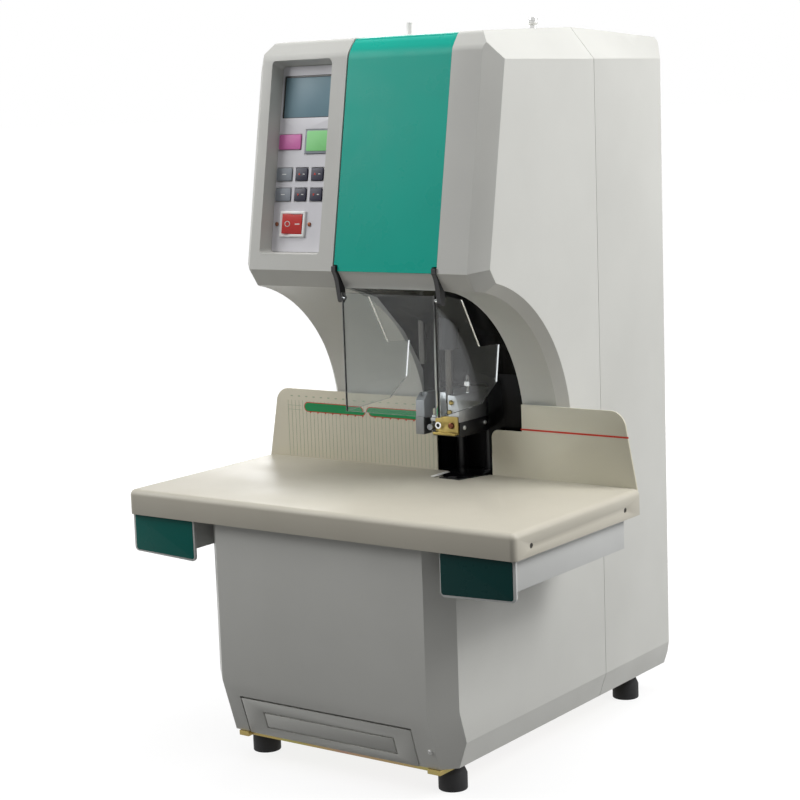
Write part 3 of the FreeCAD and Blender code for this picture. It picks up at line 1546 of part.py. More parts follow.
def tube_guide():
    """The steel tube that leads the binding tube down to the arm."""
    low = PRESS_TOP + 29
    high = D["body_top"] - 9
    outer = rod("guide_outer", ARM_X, y_at("arm_axis_y"), low, TUBE_RADIUS, high - low)
    inner = rod("guide_inner", ARM_X, y_at("arm_axis_y"), low - 1, TUBE_BORE, high - low + 2)
    return keep("tube_guide", carve("tube_guide_cut", outer, inner))


def tube_inlet():
    """The white sleeve on the head where the binding tube goes in."""
    y = y_at("arm_axis_y")
    top = D["body_top"] + 14
    low = D["body_top"] - 9
    sleeve = rod("inlet_sleeve", ARM_X, y, low, TUBE_RADIUS + 0.6, top - low)
    reach = y + TUBE_RADIUS + 3 - BROW_BACK - D["cover_inset"]
    rise = reach * D["ridge_rise"] / (SEAM - BROW_BACK - D["cover_inset"])
    flange = rod("inlet_flange", ARM_X, y, D["body_top"] - 1 + rise, TUBE_RADIUS + 3, 1.5)
    bore = rod("inlet_bore", ARM_X, y, low - 1, TUBE_BORE, top - low + 2)
    return keep("tube_inlet", carve("tube_inlet_cut", join("inlet_body", sleeve, flange), bore))


def top_peg():
    """The chrome peg on the roof."""
    return keep("top_peg", join(
        "peg_body",
        rod("peg_base", PEG_X, PEG_Y, PEG_SEAT, 5.2, 2),
        rod("peg_neck", PEG_X, PEG_Y, PEG_SEAT, 4, 14),
        rod("peg_head", PEG_X, PEG_Y, PEG_SEAT + 7, 4.9, 7)))


# ---------------------------------------------------------------------------------------------
# Guard
# ---------------------------------------------------------------------------------------------

def guard():
    """The clear guard: a front pane with a pane folded back at each side."""
    body = new_body("guard")
    front = y_at("guard_front_y")
    gauge = D["guard_gauge"]
    low = D["guard_low_z"]
    high = D["guard_high_z"]
    slab(body, "front_pane", "XZ", front, front + gauge, rect(GUARD_LEFT, low, GUARD_RIGHT, high))
    outline = [
        (front, low),
        (front, high),
        (front + 14, high - 1),
        (front + 45, high - 8),
        (front + 73, high - 56),
        (front + 107, high - 58),
        (front + 101, high - 94),
        (front + 73, low + 3),
    ]
    slab(body, "left_pane", "YZ", GUARD_LEFT, GUARD_LEFT + gauge, outline)
    slab(body, "right_pane", "YZ", GUARD_RIGHT - gauge, GUARD_RIGHT, outline)

    def front_corner(edge):
        box = edge.BoundBox
        side = near(box.XMin, GUARD_LEFT) or near(box.XMax, GUARD_RIGHT)
        return box.ZLength > 50 and side and near(box.YMax, front)

    soften(body, "bends", "Fillet", front_corner, 4)
    cut(body, "hinge_bores", "YZ", GUARD_LEFT - 1, GUARD_RIGHT + 1, circle(
        y_at("hinge_y"), D["hinge_z"], D["hinge_radius"] + RUNNING_FIT))
    return body


def guard_brackets():
    """Two curved black brackets that come out under the chin and carry the guard."""
    found = []
    y = HEAD_FRONT
    z = D["head_chin_z"]
    hinge_y = y_at("hinge_y")
    hinge_z = D["hinge_z"]
    for name, x0, x1 in (("left_bracket", CHANNEL_LEFT, GUARD_LEFT - GAP),
                         ("right_bracket", GUARD_RIGHT + GAP, CHANNEL_RIGHT)):
        body = DOC.addObject("PartDesign::Body", name)
        slab(body, name + "_strip", "YZ", x0, x1, [
            (y - 1.5, z + BRACKET_RISE),
            (y - 1.5, z),
            (y + 4, z - 14, -30),
            (hinge_y - 5, hinge_z),
            (hinge_y, hinge_z - 5, 5),
            (hinge_y + 5, hinge_z, 5),
            (y + 13, z - 13),
            (y + 7, z + BRACKET_RISE, 40),
        ])
        found.append(body)
    result = group("bracket_group", *found)
    bores = rod("bracket_bores", GUARD_LEFT - 5, hinge_y, hinge_z, D["hinge_radius"] + 0.02,
                GUARD_RIGHT - GUARD_LEFT + 10, "X")
    return keep("guard_brackets", carve("guard_brackets_cut", result, bores))


def guard_pins():
    """Two hinge pins through the brackets into the guard."""
    length = D["guard_gauge"] + GAP + 4.5
    y = y_at("hinge_y")
    z = D["hinge_z"]
    reach = GUARD_LEFT - GAP - 4
    return keep("guard_pins", group(
        "pin_group",
        rod("left_pin", reach, y, z, D["hinge_radius"], length, "X"),
        rod("right_pin", GUARD_RIGHT + GAP + 4 - length, y, z, D["hinge_radius"], length, "X")))


# ---------------------------------------------------------------------------------------------
# Control panel
# ---------------------------------------------------------------------------------------------

def control_panel():
    """The white film on the panel's floor, open for the display, the keys and the switch."""
    body = new_body("control_panel")
    low = -D["panel_depth"]
    slab(body, "film", "FACE", low, low + D["film"], rect(
        D["panel_left"] + GAP, D["panel_low"] + GAP, D["panel_right"] - GAP, D["panel_high"] - GAP))
    window = 1.5
    cut(body, "display_window", "FACE", low - 1, low + 2, rect(
        DISPLAY_LEFT + window, DISPLAY_LOW + window, DISPLAY_RIGHT - window, DISPLAY_HIGH - window))
    cut(body, "switch_hole", "FACE", low - 1, low + 2, centred(
        SWITCH_X, SWITCH_V, SWITCH_HOLE_WIDTH, SWITCH_HOLE_HEIGHT))
    cut(body, "key_holes", "FACE", low - 1, low + 2, *[
        rect(x0 - GAP, v0 - GAP, x1 + GAP, v1 + GAP) for _, x0, v0, x1, v1 in KEYS])
    return body


def centred(x, v, width, height):
    """A rectangle about its middle."""
    return rect(x - width / 2, v - height / 2, x + width / 2, v + height / 2)


def display():
    """The display module, with its glass against the film's window."""
    body = new_body("display")
    back = -D["panel_depth"]
    slab(body, "glass", "FACE", back - 3, back, rect(
        DISPLAY_LEFT, DISPLAY_LOW, DISPLAY_RIGHT, DISPLAY_HIGH))
    slab(body, "module", "FACE", back - 9, back - 3, rect(
        DISPLAY_LEFT + 1, DISPLAY_LOW + 1, DISPLAY_RIGHT - 1, DISPLAY_HIGH - 1))
    return body


def key(label, x0, v0, x1, v1):
    """One key cap, rounded at its corners."""
    body = new_body(label)
    low = D["film"] * 0.7 - D["panel_depth"]
    slab(body, "cap", "FACE", low, low + KEY_THICK, rect(x0, v0, x1, v1))

    def corner(edge):
        return edge.Length < KEY_THICK + 0.01

    soften(body, "corners", "Fillet", corner, 1.6)
    return body


def switch_bezel():
    """The power switch's white frame and its box behind the panel."""
    body = new_body("switch_bezel")
    face = D["film"] - D["panel_depth"]
    slab(body, "flange", "FACE", face, face + 2, centred(
        SWITCH_X, SWITCH_V, SWITCH_FLANGE_WIDTH, SWITCH_FLANGE_HEIGHT))
    slab(body, "barrel", "FACE", face - 22, face, centred(
        SWITCH_X, SWITCH_V, SWITCH_HOLE_WIDTH - 0.5, SWITCH_HOLE_HEIGHT - 0.5))
    cut(body, "opening", "FACE", face - 20, face + 3, centred(
        SWITCH_X, SWITCH_V, ROCKER_WIDTH, ROCKER_HEIGHT))
    return body


def power_rocker():
    """The rocker, tilted to its rest side about its pivot."""
    body = new_body("power_rocker")
    corner_x = ROCKER_WIDTH / 2 - 0.5
    tilt = math.radians(ROCKER_TILT)
    reach = math.hypot(corner_x, ROCKER_PIVOT_DEPTH)
    spread_angle = math.atan2(ROCKER_PIVOT_DEPTH, corner_x) + tilt
    wing = (reach * math.cos(spread_angle), -reach * math.sin(spread_angle))
    outline = [wing, (8, 5), (-8, 5), (-wing[0], wing[1]), (0, 0.5 - ROCKER_PIVOT_DEPTH)]
    pivot_depth = D["panel_depth"] - D["film"] - 2 + ROCKER_PIVOT_DEPTH
    turned = []
    for x, depth in outline:
        turned.append((
            SWITCH_X + x * math.cos(tilt) - depth * math.sin(tilt),
            pivot_depth + x * math.sin(tilt) + depth * math.cos(tilt)))
    slab(body, "rocker", "SLOPE", SWITCH_V - ROCKER_HEIGHT / 2 + GAP,
         SWITCH_V + ROCKER_HEIGHT / 2 - GAP, turned)
    return body


def control_board():
    """The circuit board behind the panel, on four pillars."""
    body = new_body("control_board")
    tub_back = -D["panel_depth"] - D["wall"]
    face = tub_back - 14
    left = D["panel_left"] + 3
    right = D["panel_right"] - 3
    slab(body, "board", "FACE", face - 1.6, face, rect(left, 66, right, 200))
    slab(body, "pillars", "FACE", face, tub_back, *[
        circle(x, v, 2.5) for x in (left + 4, right - 4) for v in (70, 143)])
    slab(body, "parts_behind", "FACE", face - 12, face - 1.6,
         rect(left + 8, 80, left + 28, 100), rect(left + 34, 110, left + 54, 124),
         rect(left + 10, 150, left + 22, 185))
    return body


def power_supply():
    """The power supply on the base plate."""
    low = D["body_bottom"]
    left = 36 - HALF_BODY
    case = block("supply_case", left, left + 80, SEAM + 8, SEAM + 103, low, low + 43)
    step = block("supply_step", left - 1, left + 81, SEAM + 88, SEAM + 104, low + 22, low + 44)
    return keep("power_supply", carve("supply_cut", case, step))


def power_inlet():
    """The three-pin inlet socket, flush in the rear cover."""
    body = new_body("power_inlet")
    slab(body, "flange", "XZ", REAR - INLET_FLANGE, REAR, rect(
        INLET_X - INLET_WIDTH / 2, INLET_Z - INLET_HEIGHT / 2,
        INLET_X + INLET_WIDTH / 2, INLET_Z + INLET_HEIGHT / 2))
    slab(body, "core", "XZ", REAR - 26, REAR - INLET_FLANGE, rect(
        INLET_X - INLET_CORE / 2, INLET_Z - INLET_CORE_HEIGHT / 2,
        INLET_X + INLET_CORE / 2, INLET_Z + INLET_CORE_HEIGHT / 2))
    cut(body, "socket", "XZ", REAR - 18, REAR + 1, [
        (INLET_X - 12, INLET_Z - 8),
        (INLET_X + 12, INLET_Z - 8),
        (INLET_X + 12, INLET_Z + 3),
        (INLET_X + 7, INLET_Z + 8),
        (INLET_X - 7, INLET_Z + 8),
        (INLET_X - 12, INLET_Z + 3),
    ])
    slab(body, "pins", "XZ", REAR - 19, REAR - 4,
         rect(INLET_X - 8, INLET_Z - 4, INLET_X - 6, INLET_Z),
         rect(INLET_X + 6, INLET_Z - 4, INLET_X + 8, INLET_Z),
         rect(INLET_X - 1, INLET_Z, INLET_X + 1, INLET_Z + 4))
    return body


def build():
    """Builds every piece."""
    front_housing()
    rear_cover()
    centre_cover()
    centre_panel()
    throat_cover()
    base_plate()
    feet()
    housing_brackets()
    waste_drawer()
    table_plate()
    case_screws()
    table_bearers()
    fence()
    anvil()
    drill_pad()
    for name, side in (("left", -1), ("right", 1)):
        side_drawer(f"{name}_drawer", side)
        drawer_label(f"{name}_drawer_front", side)
    drawer_rails()
    frame_plates()
    head_beam()
    guide_rods()
    press_motor()
    press_screw()
    press_carriage()
    clamp_block()
    clamp_foot()
    tube_arm()
    brass_bracket()
    head_screws()
    drill_carriage()
    drill_motor()
    drill_spindle()
    pulley("spindle_pulley", DRILL_Y, D["spindle_radius"] + 0.02, 0)
    pulley("motor_pulley", MOTOR_Y, 0, 44)
    drill_belt()
    feed_screw()
    feed_motor()
    tube_guide()
    tube_inlet()
    top_peg()
    guard()
    guard_brackets()
    guard_pins()
    control_panel()
    display()
    for spec in KEYS:
        key(*spec)
    switch_bezel()
    power_rocker()
    control_board()
    power_supply()
    power_inlet()


def finish():
    """Recomputes, checks every object and writes each piece to its own file."""
    DOC.recompute()
    for thing in DOC.Objects:
        if "Invalid" in thing.State or "Error" in thing.State:
            raise RuntimeError(f"{thing.Label} failed: {thing.State}")
    os.makedirs("parts", exist_ok=True)
    for label, thing in PIECES.items():
        shape = thing.Shape
        if shape.isNull() or not shape.isValid():
            raise RuntimeError(f"{label} has no valid shape")
        shape.exportStep(f"parts/{label}.step")
        print(f"{label}: {len(shape.Solids)} solid(s), {shape.Volume / 1000:.1f} cm3")


build()
finish()
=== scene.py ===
"""Document riveting machine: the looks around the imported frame.

Metres, +Z up, -Y towards the user. Each sub-assembly is a class that builds and dresses its pieces.
"""

from __future__ import annotations

import logging
from collections.abc import Callable, Iterator
from contextlib import contextmanager
from dataclasses import dataclass
from enum import Enum
from functools import cached_property
from math import atan2, cos, degrees, radians, sin

import bmesh
import bpy
from mathutils import Matrix, Vector

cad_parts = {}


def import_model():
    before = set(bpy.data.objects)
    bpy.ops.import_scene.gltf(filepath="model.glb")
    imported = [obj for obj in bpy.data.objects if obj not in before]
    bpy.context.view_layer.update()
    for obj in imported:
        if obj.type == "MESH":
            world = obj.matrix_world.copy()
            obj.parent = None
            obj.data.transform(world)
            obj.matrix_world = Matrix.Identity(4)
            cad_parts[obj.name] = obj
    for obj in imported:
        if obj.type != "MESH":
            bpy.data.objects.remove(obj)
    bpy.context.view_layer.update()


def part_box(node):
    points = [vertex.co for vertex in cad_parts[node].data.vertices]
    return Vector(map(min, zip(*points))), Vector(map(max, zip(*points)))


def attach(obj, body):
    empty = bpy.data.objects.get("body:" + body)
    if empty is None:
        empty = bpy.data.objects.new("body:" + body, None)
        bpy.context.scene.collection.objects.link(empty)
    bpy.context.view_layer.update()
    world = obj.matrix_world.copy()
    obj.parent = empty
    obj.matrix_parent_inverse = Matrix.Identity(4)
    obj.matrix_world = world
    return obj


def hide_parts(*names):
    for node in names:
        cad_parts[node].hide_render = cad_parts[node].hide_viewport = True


LOG = logging.getLogger("riveting_machine")
MM = 0.001
Colour = tuple[float, float, float, float]
Point = tuple[float, float, float]
Piece = bpy.types.Object
Socket = bpy.types.NodeSocket
Edge = bmesh.types.BMEdge
Box = tuple[float, float, float, float]

LEAN = atan2(37.5, 206.0)
SLOPE = Matrix.Translation((0, -132.5 * MM, 484 * MM)) @ Matrix.Rotation(
    radians(90) - LEAN, 4, "X")


def tone(code: str) -> Colour:
    """Turns a display colour such as "#D0D0CB" into the linear one that shaders take.

    Args:
        code: Six hexadecimal digits after a hash.

    Returns:
        Linear red, green, blue and an alpha of 1.
    """
    parts = [int(code[i : i + 2], 16) / 255 for i in (1, 3, 5)]
    linear = [p / 12.92 if p <= 0.04045 else ((p + 0.055) / 1.055) ** 2.4 for p in parts]
    return (linear[0], linear[1], linear[2], 1.0)


def mixed(colour: Colour, factor: float) -> Colour:
    """Returns a colour made lighter or darker by a factor."""
    return (colour[0] * factor, colour[1] * factor, colour[2] * factor, 1.0)


# Finishes


class Graph:
    """The node tree of one material, or of the world, while it is put together."""

    def __init__(self, name: str, world: bool = False) -> None:
        """Starts an empty material or world with its output.

        Args:
            name: The material's or world's name.
            world: Whether it is a world.
        """
        self.owner = (bpy.data.worlds if world else bpy.data.materials).new(name)
        self.owner.use_nodes = True
        self.tree = self.owner.node_tree
        self.tree.nodes.clear()
        self.output = self.node("ShaderNodeOutputWorld" if world else "ShaderNodeOutputMaterial")

    @cached_property
    def places(self) -> Socket:
        """The object's own places."""
        return self.node("ShaderNodeTexCoord").outputs["Object"]

    def node(
        self, kind: str, inputs: dict[int | str, object] | None = None, **settings: object
    ) -> bpy.types.Node:
        """Adds a node.

        Args:
            kind: The node's type name.
            inputs: Numbers and colours to set, and sockets to link, by input.
            settings: Its properties.

        Returns:
            The new node.
        """
        made = self.tree.nodes.new(kind)
        for key, value in settings.items():
            setattr(made, key, value)
        for key, value in (inputs or {}).items():
            if isinstance(value, Socket):
                self.tree.links.new(value, made.inputs[key])
            else:
                made.inputs[key].default_value = value
        return made

    def noise(
        self, scale: float, detail: float = 3.0, stretch: Point = (1.0, 1.0, 1.0)
    ) -> Socket:
        """Adds noise over the object's own places.

        Args:
            scale: Cells per metre.
            detail: How many finer layers it has.
            stretch: Factors on the three axes.

        Returns:
            The noise, from 0 to 1.
        """
        spread = self.node("ShaderNodeMapping", {"Vector": self.places, "Scale": stretch})
        return self.node("ShaderNodeTexNoise", {
            "Vector": spread.outputs["Vector"], "Scale": scale, "Detail": detail}).outputs["Fac"]

    def sums(self, kind: str, first: object, second: object) -> Socket:
        """Adds a math node on two values and returns its result."""
        return self.node("ShaderNodeMath", {0: first, 1: second}, operation=kind).outputs[0]

    def spread(
        self, value: Socket, low: float, high: float, start: float = 0.0, end: float = 1.0
    ) -> Socket:
        """Maps a value from start..end to low..high, held at both ends."""
        return self.node("ShaderNodeMapRange", {
            0: value, 1: start, 2: end, 3: low, 4: high}).outputs[0]

    def blend(self, share: object, first: object, second: object) -> Socket:
        """Mixes two colours by a share and returns the colour."""
        return self.node("ShaderNodeMix", {
            0: share, 6: first, 7: second}, data_type="RGBA").outputs[2]

    def clouded(self, base: Colour, scale: float, detail: float, shift: float) -> Socket:
        """Returns a colour that drifts darker and lighter in soft clouds."""
        share = self.spread(self.noise(scale, detail), 0.0, 1.0, 0.35, 0.65)
        return self.blend(share, mixed(base, 1 - shift), mixed(base, 1 + shift))

    def bumped(self, height: Socket, strength: float, depth: float) -> Socket:
        """Returns a normal with a bump of a depth in metres on it."""
        return self.node("ShaderNodeBump", {
            "Strength": strength, "Distance": depth, "Height": height}).outputs["Normal"]

    def seen(self) -> Socket:
        """Returns 1 on rays from the camera, off gloss or through glass, and 0 on others."""
        paths = self.node("ShaderNodeLightPath").outputs
        direct = self.sums("MAXIMUM", paths["Is Camera Ray"], paths["Is Glossy Ray"])
        return self.sums("MAXIMUM", direct, paths["Is Transmission Ray"])

    def either(
        self, share: Socket, first: bpy.types.Node, second: bpy.types.Node
    ) -> bpy.types.Node:
        """Mixes two shaders by a share."""
        return self.node("ShaderNodeMixShader", {
            0: share, 1: first.outputs[0], 2: second.outputs[0]})

    def ended(self, shader: bpy.types.Node) -> bpy.types.ID:
        """Links the last shader to the output and returns the material or world."""
        self.tree.links.new(shader.outputs[0], self.output.inputs["Surface"])
        return self.owner

    def shade(self, **inputs: object) -> bpy.types.Material:
        """Ends the tree in one Principled shader.

        Args:
            inputs: Its inputs, with an underscore for each space.

        Returns:
            The finished material.
        """
        return self.ended(self.node("ShaderNodeBsdfPrincipled", {
            key.replace("_", " "): value for key, value in inputs.items()}))


@dataclass(frozen=True)
class Moulded:
    """Moulded plastic: fine spark-eroded grain, faint flow marks, handling sheen."""

    name: str
    colour: str
    roughness: float = 0.42
    grain: float = 0.25
    grain_scale: float = 1600.0
    mottle: float = 0.03
    shine: float = 0.5

    def make(self) -> bpy.types.Material:
        """Builds the material.

        Returns:
            The new material.
        """
        g = Graph(self.name)
        fine = g.noise(self.grain_scale, 2.0)
        handled = g.noise(22.0, 5.0)
        rough = g.sums(
            "ADD", g.spread(handled, self.roughness - 0.05, self.roughness + 0.07, 0.35, 0.65),
            g.spread(fine, -0.04, 0.04))
        return g.shade(
            Base_Color=g.clouded(tone(self.colour), 7.0, 4.0, self.mottle), Roughness=rough,
            Specular_IOR_Level=self.shine, Normal=g.bumped(fine, self.grain, 0.00006))


@dataclass(frozen=True)
class Coated:
    """Powder-coated sheet: orange peel, a few dust specks, paler worn edges."""

    name: str
    colour: str
    roughness: float = 0.38
    peel: float = 0.3
    wear: float = 0.12

    def make(self) -> bpy.types.Material:
        """Builds the material.

        Returns:
            The new material.
        """
        g = Graph(self.name)
        base = tone(self.colour)
        peel = g.noise(420.0, 2.0)
        colour = g.clouded(base, 5.0, 4.0, 0.03)
        specks = g.spread(g.noise(900.0, 1.0), 0.0, 1.0, 0.76, 0.8)
        colour = g.blend(g.sums("MULTIPLY", specks, 0.35), colour, mixed(base, 0.6))
        edge = g.node("ShaderNodeNewGeometry").outputs["Pointiness"]
        worn = g.sums("MULTIPLY", g.spread(edge, 0.0, 1.0, 0.53, 0.6), self.wear)
        colour = g.blend(worn, colour, mixed(base, 1.3))
        rough = g.spread(g.noise(18.0, 5.0), self.roughness - 0.05, self.roughness + 0.08, 0.3, 0.7)
        return g.shade(
            Base_Color=colour, Roughness=rough, Normal=g.bumped(peel, self.peel, 0.00012))


@dataclass(frozen=True)
class Metal:
    """Machined or ground metal with tool marks along one axis."""

    name: str
    colour: str
    roughness: float = 0.3
    marks: float = 0.2
    stretch: Point = (1.0, 1.0, 0.04)
    tarnish: float = 0.12

    def make(self) -> bpy.types.Material:
        """Builds the material.

        Returns:
            The new material.
        """
        g = Graph(self.name)
        base = tone(self.colour)
        lines = g.noise(2600.0, 2.0, self.stretch)
        stains = g.noise(60.0, 5.0)
        colour = g.blend(
            g.spread(stains, 0.0, 1.0, 0.35, 0.7), base, mixed(base, 1 - self.tarnish))
        rough = g.sums(
            "ADD", g.spread(lines, self.roughness - 0.07, self.roughness + 0.07),
            g.spread(stains, 0.0, 0.1, 0.4, 0.8))
        return g.shade(
            Base_Color=colour, Metallic=1.0, Roughness=rough,
            Normal=g.bumped(lines, self.marks, 0.00003))


@dataclass(frozen=True)
class Lacquered:
    """Glossy black sheet and dark films: smooth, with hairline scratches and dust."""

    name: str
    colour: str
    roughness: float = 0.12
    scratches: float = 0.15
    shine: float = 0.35

    def make(self) -> bpy.types.Material:
        """Builds the material.

        Returns:
            The new material.
        """
        g = Graph(self.name)
        base = tone(self.colour)
        hairs = g.noise(300.0, 3.0, (1.0, 1.0, 0.03))
        dust = g.noise(1400.0, 2.0)
        rough = g.sums(
            "ADD", g.spread(hairs, self.roughness - 0.03, self.roughness + 0.09, 0.45, 0.75),
            g.spread(dust, 0.0, 0.12, 0.62, 0.75))
        colour = g.blend(g.spread(dust, 0.0, 0.2, 0.62, 0.8), base, mixed(base, 1.8))
        return g.shade(
            Base_Color=colour, Roughness=rough, Specular_IOR_Level=self.shine,
            Normal=g.bumped(hairs, self.scratches, 0.00002))


@dataclass(frozen=True)
class Film:
    """Printed satin film with a faint grain."""

    name: str
    colour: str
    roughness: float = 0.3
    emboss: float = 0.12
    shift: float = 0.03
    shine: float = 0.25

    def make(self) -> bpy.types.Material:
        """Builds the material.

        Returns:
            The new material.
        """
        g = Graph(self.name)
        fine = g.noise(2200.0, 1.0)
        rough = g.spread(g.noise(35.0, 5.0), self.roughness - 0.06, self.roughness + 0.08, 0.3, 0.7)
        return g.shade(
            Base_Color=g.clouded(tone(self.colour), 9.0, 3.0, self.shift), Roughness=rough,
            Specular_IOR_Level=self.shine, Normal=g.bumped(fine, self.emboss, 0.00003))


@dataclass(frozen=True)
class Acrylic:
    """Clear acrylic, faintly grey, with wiping marks."""

    name: str
    tint: str = "#F4F7F8"
    shadow: str = "#EEF2F3"
    index: float = 1.32

    def make(self) -> bpy.types.Material:
        """Builds the material; lamps shine through it.

        Returns:
            The new material.
        """
        g = Graph(self.name)
        wiped = g.noise(40.0, 4.0, (1.0, 1.0, 0.3))
        clear = g.node("ShaderNodeBsdfPrincipled", {
            "Base Color": tone(self.tint), "Transmission Weight": 1.0, "IOR": self.index,
            "Roughness": g.spread(wiped, 0.005, 0.05, 0.45, 0.8)})
        through = g.node("ShaderNodeBsdfTransparent", {"Color": tone(self.shadow)})
        return g.ended(g.either(
            g.node("ShaderNodeLightPath").outputs["Is Shadow Ray"], clear, through))


@dataclass(frozen=True)
class Passivated:
    """Yellow zinc passivation, with its green and rose iridescence."""

    name: str

    def make(self) -> bpy.types.Material:
        """Builds the material.

        Returns:
            The new material.
        """
        g = Graph(self.name)
        ramp = g.node("ShaderNodeValToRGB", {0: g.noise(16.0, 4.0)})
        stops = ramp.color_ramp.elements
        stops[0].position, stops[0].color = 0.3, tone("#8C9656")
        stops[1].position, stops[1].color = 0.7, tone("#9C7C70")
        stops.new(0.5).color = tone("#A08E58")
        fine = g.noise(1500.0, 2.0)
        return g.shade(
            Base_Color=ramp.outputs[0], Metallic=0.85, Roughness=g.spread(fine, 0.3, 0.45),
            Normal=g.bumped(fine, 0.15, 0.00004))


@dataclass(frozen=True)
class Rubber:
    """Moulded rubber with a dusty bloom."""

    name: str
    colour: str

    def make(self) -> bpy.types.Material:
        """Builds the material.

        Returns:
            The new material.
        """
        g = Graph(self.name)
        base = tone(self.colour)
        bloom = g.noise(120.0, 5.0)
        fine = g.noise(1800.0, 2.0)
        colour = g.blend(g.spread(bloom, 0.0, 1.0, 0.4, 0.75), base, mixed(base, 1.9))
        return g.shade(
            Base_Color=colour, Roughness=g.spread(bloom, 0.55, 0.8), Specular_IOR_Level=0.35,
            Normal=g.bumped(fine, 0.3, 0.00006))


@dataclass(frozen=True)
class LiquidCrystal:
    """An unlit graphic display: slate blue, with its grid of dots."""

    name: str

    def make(self) -> bpy.types.Material:
        """Builds the material.

        Returns:
            The new material.
        """
        g = Graph(self.name)
        drift = g.noise(14.0, 2.0)
        colour = g.blend(
            g.spread(drift, 0.0, 1.0, 0.3, 0.7), tone("#7494A2"), tone("#88A6B2"))
        dots = g.node("ShaderNodeTexChecker", {"Vector": g.places, "Scale": 1900.0})
        colour = g.blend(g.sums("MULTIPLY", dots.outputs["Fac"], 0.05), colour, tone("#4A5E6C"))
        return g.shade(
            Base_Color=colour, Roughness=g.spread(drift, 0.3, 0.42), Specular_IOR_Level=0.2)


class Finish(Enum):
    """Every surface finish of the machine."""

    HOUSING = Moulded("housing_grey", "#CFCFCA", 0.46, 0.22, shine=0.3)
    TABLE = Coated("table_beige", "#BDB8AA", 0.5)
    FENCE = Coated("fence_beige", "#D2CCB8", 0.4)
    GREEN = Film("panel_green", "#02B09C", 0.3, shine=0.16)
    DARK_GREEN = Film("front_green", "#025C54", 0.3, shine=0.1)
    DRAWER = Moulded("drawer_grey", "#C4C5C3", 0.44, 0.15, shine=0.3)
    TONGUE = Lacquered("tongue_black", "#0E0E0F", 0.1)
    LACQUER = Lacquered("throat_black", "#0A0A0B", 0.2, 0.15, 0.1)
    ZINC = Passivated("zinc_yellow")
    STEEL = Metal("steel", "#B4B4B2", 0.36)
    BRIGHT = Metal("bright_steel", "#D8D8D6", 0.14, 0.08)
    ALUMINIUM = Metal("aluminium", "#B2B4B5", 0.42, 0.25, (0.04, 1.0, 1.0))
    # Black coat: the real colour of the clamp shoe and the guard arms, and painted shade on the
    # frame inside the head.
    BLACK_AND_SHADE = Coated("black_steel", "#1C1C1D", 0.4, 0.2, 0.25)
    BRASS = Metal("brass", "#AC985C", 0.32, 0.2, (0.05, 1.0, 1.0), 0.35)
    RUBBER = Rubber("rubber", "#1B1B1C")
    ACRYLIC = Acrylic("clear_guard")
    WHITE_FILM = Film("white_film", "#DEDDE2", 0.34)
    GLASS = LiquidCrystal("display_glass")
    PINK = Film("key_red", "#D874B4", 0.35)
    LIGHT_GREEN = Film("key_green", "#8CDC8C", 0.35)
    GREY_KEY = Film("key_grey", "#8E949C", 0.35)
    NAVY = Film("key_navy", "#2A2A3C", 0.3)
    RED = Moulded("rocker_red", "#C81608", 0.24, 0.08)
    WHITE = Moulded("white_plastic", "#ECECEA", 0.32, 0.12)
    BOARD = Moulded("board_green", "#1F6B3A", 0.5, 0.3)
    MOTOR = Coated("motor_black", "#2A2A2B", 0.42)
    BELT = Rubber("belt_black", "#232324")
    BLACK = Moulded("black_plastic", "#1E1E1F", 0.45)
    PRINT_GREEN = Film("print_green", "#1F8F55", 0.4)
    PRINT_RED = Film("print_red", "#C93A2A", 0.4)
    PRINT_PALE = Film("print_pale", "#A7B49A", 0.42)
    MARK_WHITE = Film("mark_white", "#F0F0EC", 0.4)
    # A darker copy of the drawer films' green, for the right drawer: painted shade.
    SHADED_GREEN = Film("green_painted_shade", "#023836", 0.3, shine=0.08)
    COPPER = Metal("copper_screw", "#7C4E3A", 0.34, 0.15, (1.0, 1.0, 1.0), 0.3)
    WHITE_METAL = Metal("zinc_screw", "#E6E6E2", 0.32, 0.12, (1.0, 1.0, 1.0), 0.08)
    CAST = Metal("cast_post", "#8C8E90", 0.46, 0.25, (1.0, 1.0, 0.1), 0.1)
    DARK_SCREW = Metal("dark_screw", "#5A5854", 0.3, 0.15, (1.0, 1.0, 1.0), 0.2)

    def material(self) -> bpy.types.Material:
        """Returns the finish's material, built once."""
        name = f"{self.value.name}_finish"
        made = bpy.data.materials.get(name)
        if made is None:
            made = self.value.make()
            made.name = name
        return made


# Bench work


def only(piece: Piece) -> None:
    """Makes one object the selected and active one.

    Args:
        piece: The object.
    """
    bpy.ops.object.select_all(action="DESELECT")
    piece.select_set(True)
    bpy.context.view_layer.objects.active = piece


@contextmanager
def editing(piece: Piece) -> Iterator[None]:
    """Holds an object in edit mode with nothing selected.

    Args:
        piece: The object.

    Returns:
        A context that ends in object mode.
    """
    only(piece)
    bpy.ops.object.mode_set(mode="EDIT")
    bpy.ops.mesh.select_all(action="DESELECT")
    yield
    bpy.ops.object.mode_set(mode="OBJECT")


def pick(piece: Piece, kind: str, test: Callable[[object], bool]) -> None:
    """Selects an edited mesh's faces, edges or corners that pass a test.

    Args:
        piece: The object in edit mode.
        kind: FACE, EDGE or VERT.
        test: Takes one of them.
    """
    bpy.ops.mesh.select_mode(type=kind)
    bpy.ops.mesh.select_all(action="DESELECT")
    mesh = bmesh.from_edit_mesh(piece.data)
    for part in {"FACE": mesh.faces, "EDGE": mesh.edges, "VERT": mesh.verts}[kind]:
        if test(part):
            part.select_set(True)
    bmesh.update_edit_mesh(piece.data)


def settle(piece: Piece, place: Matrix | None = None) -> Piece:
    """Moves a piece to its place in its mesh and leaves its object at the origin.

    Args:
        piece: The object.
        place: Where its origin goes, if it moves.

    Returns:
        The same object.
    """
    if place is not None:
        piece.matrix_world = place @ piece.matrix_world
    only(piece)
    bpy.ops.object.transform_apply(location=True, rotation=True, scale=True)
    return piece


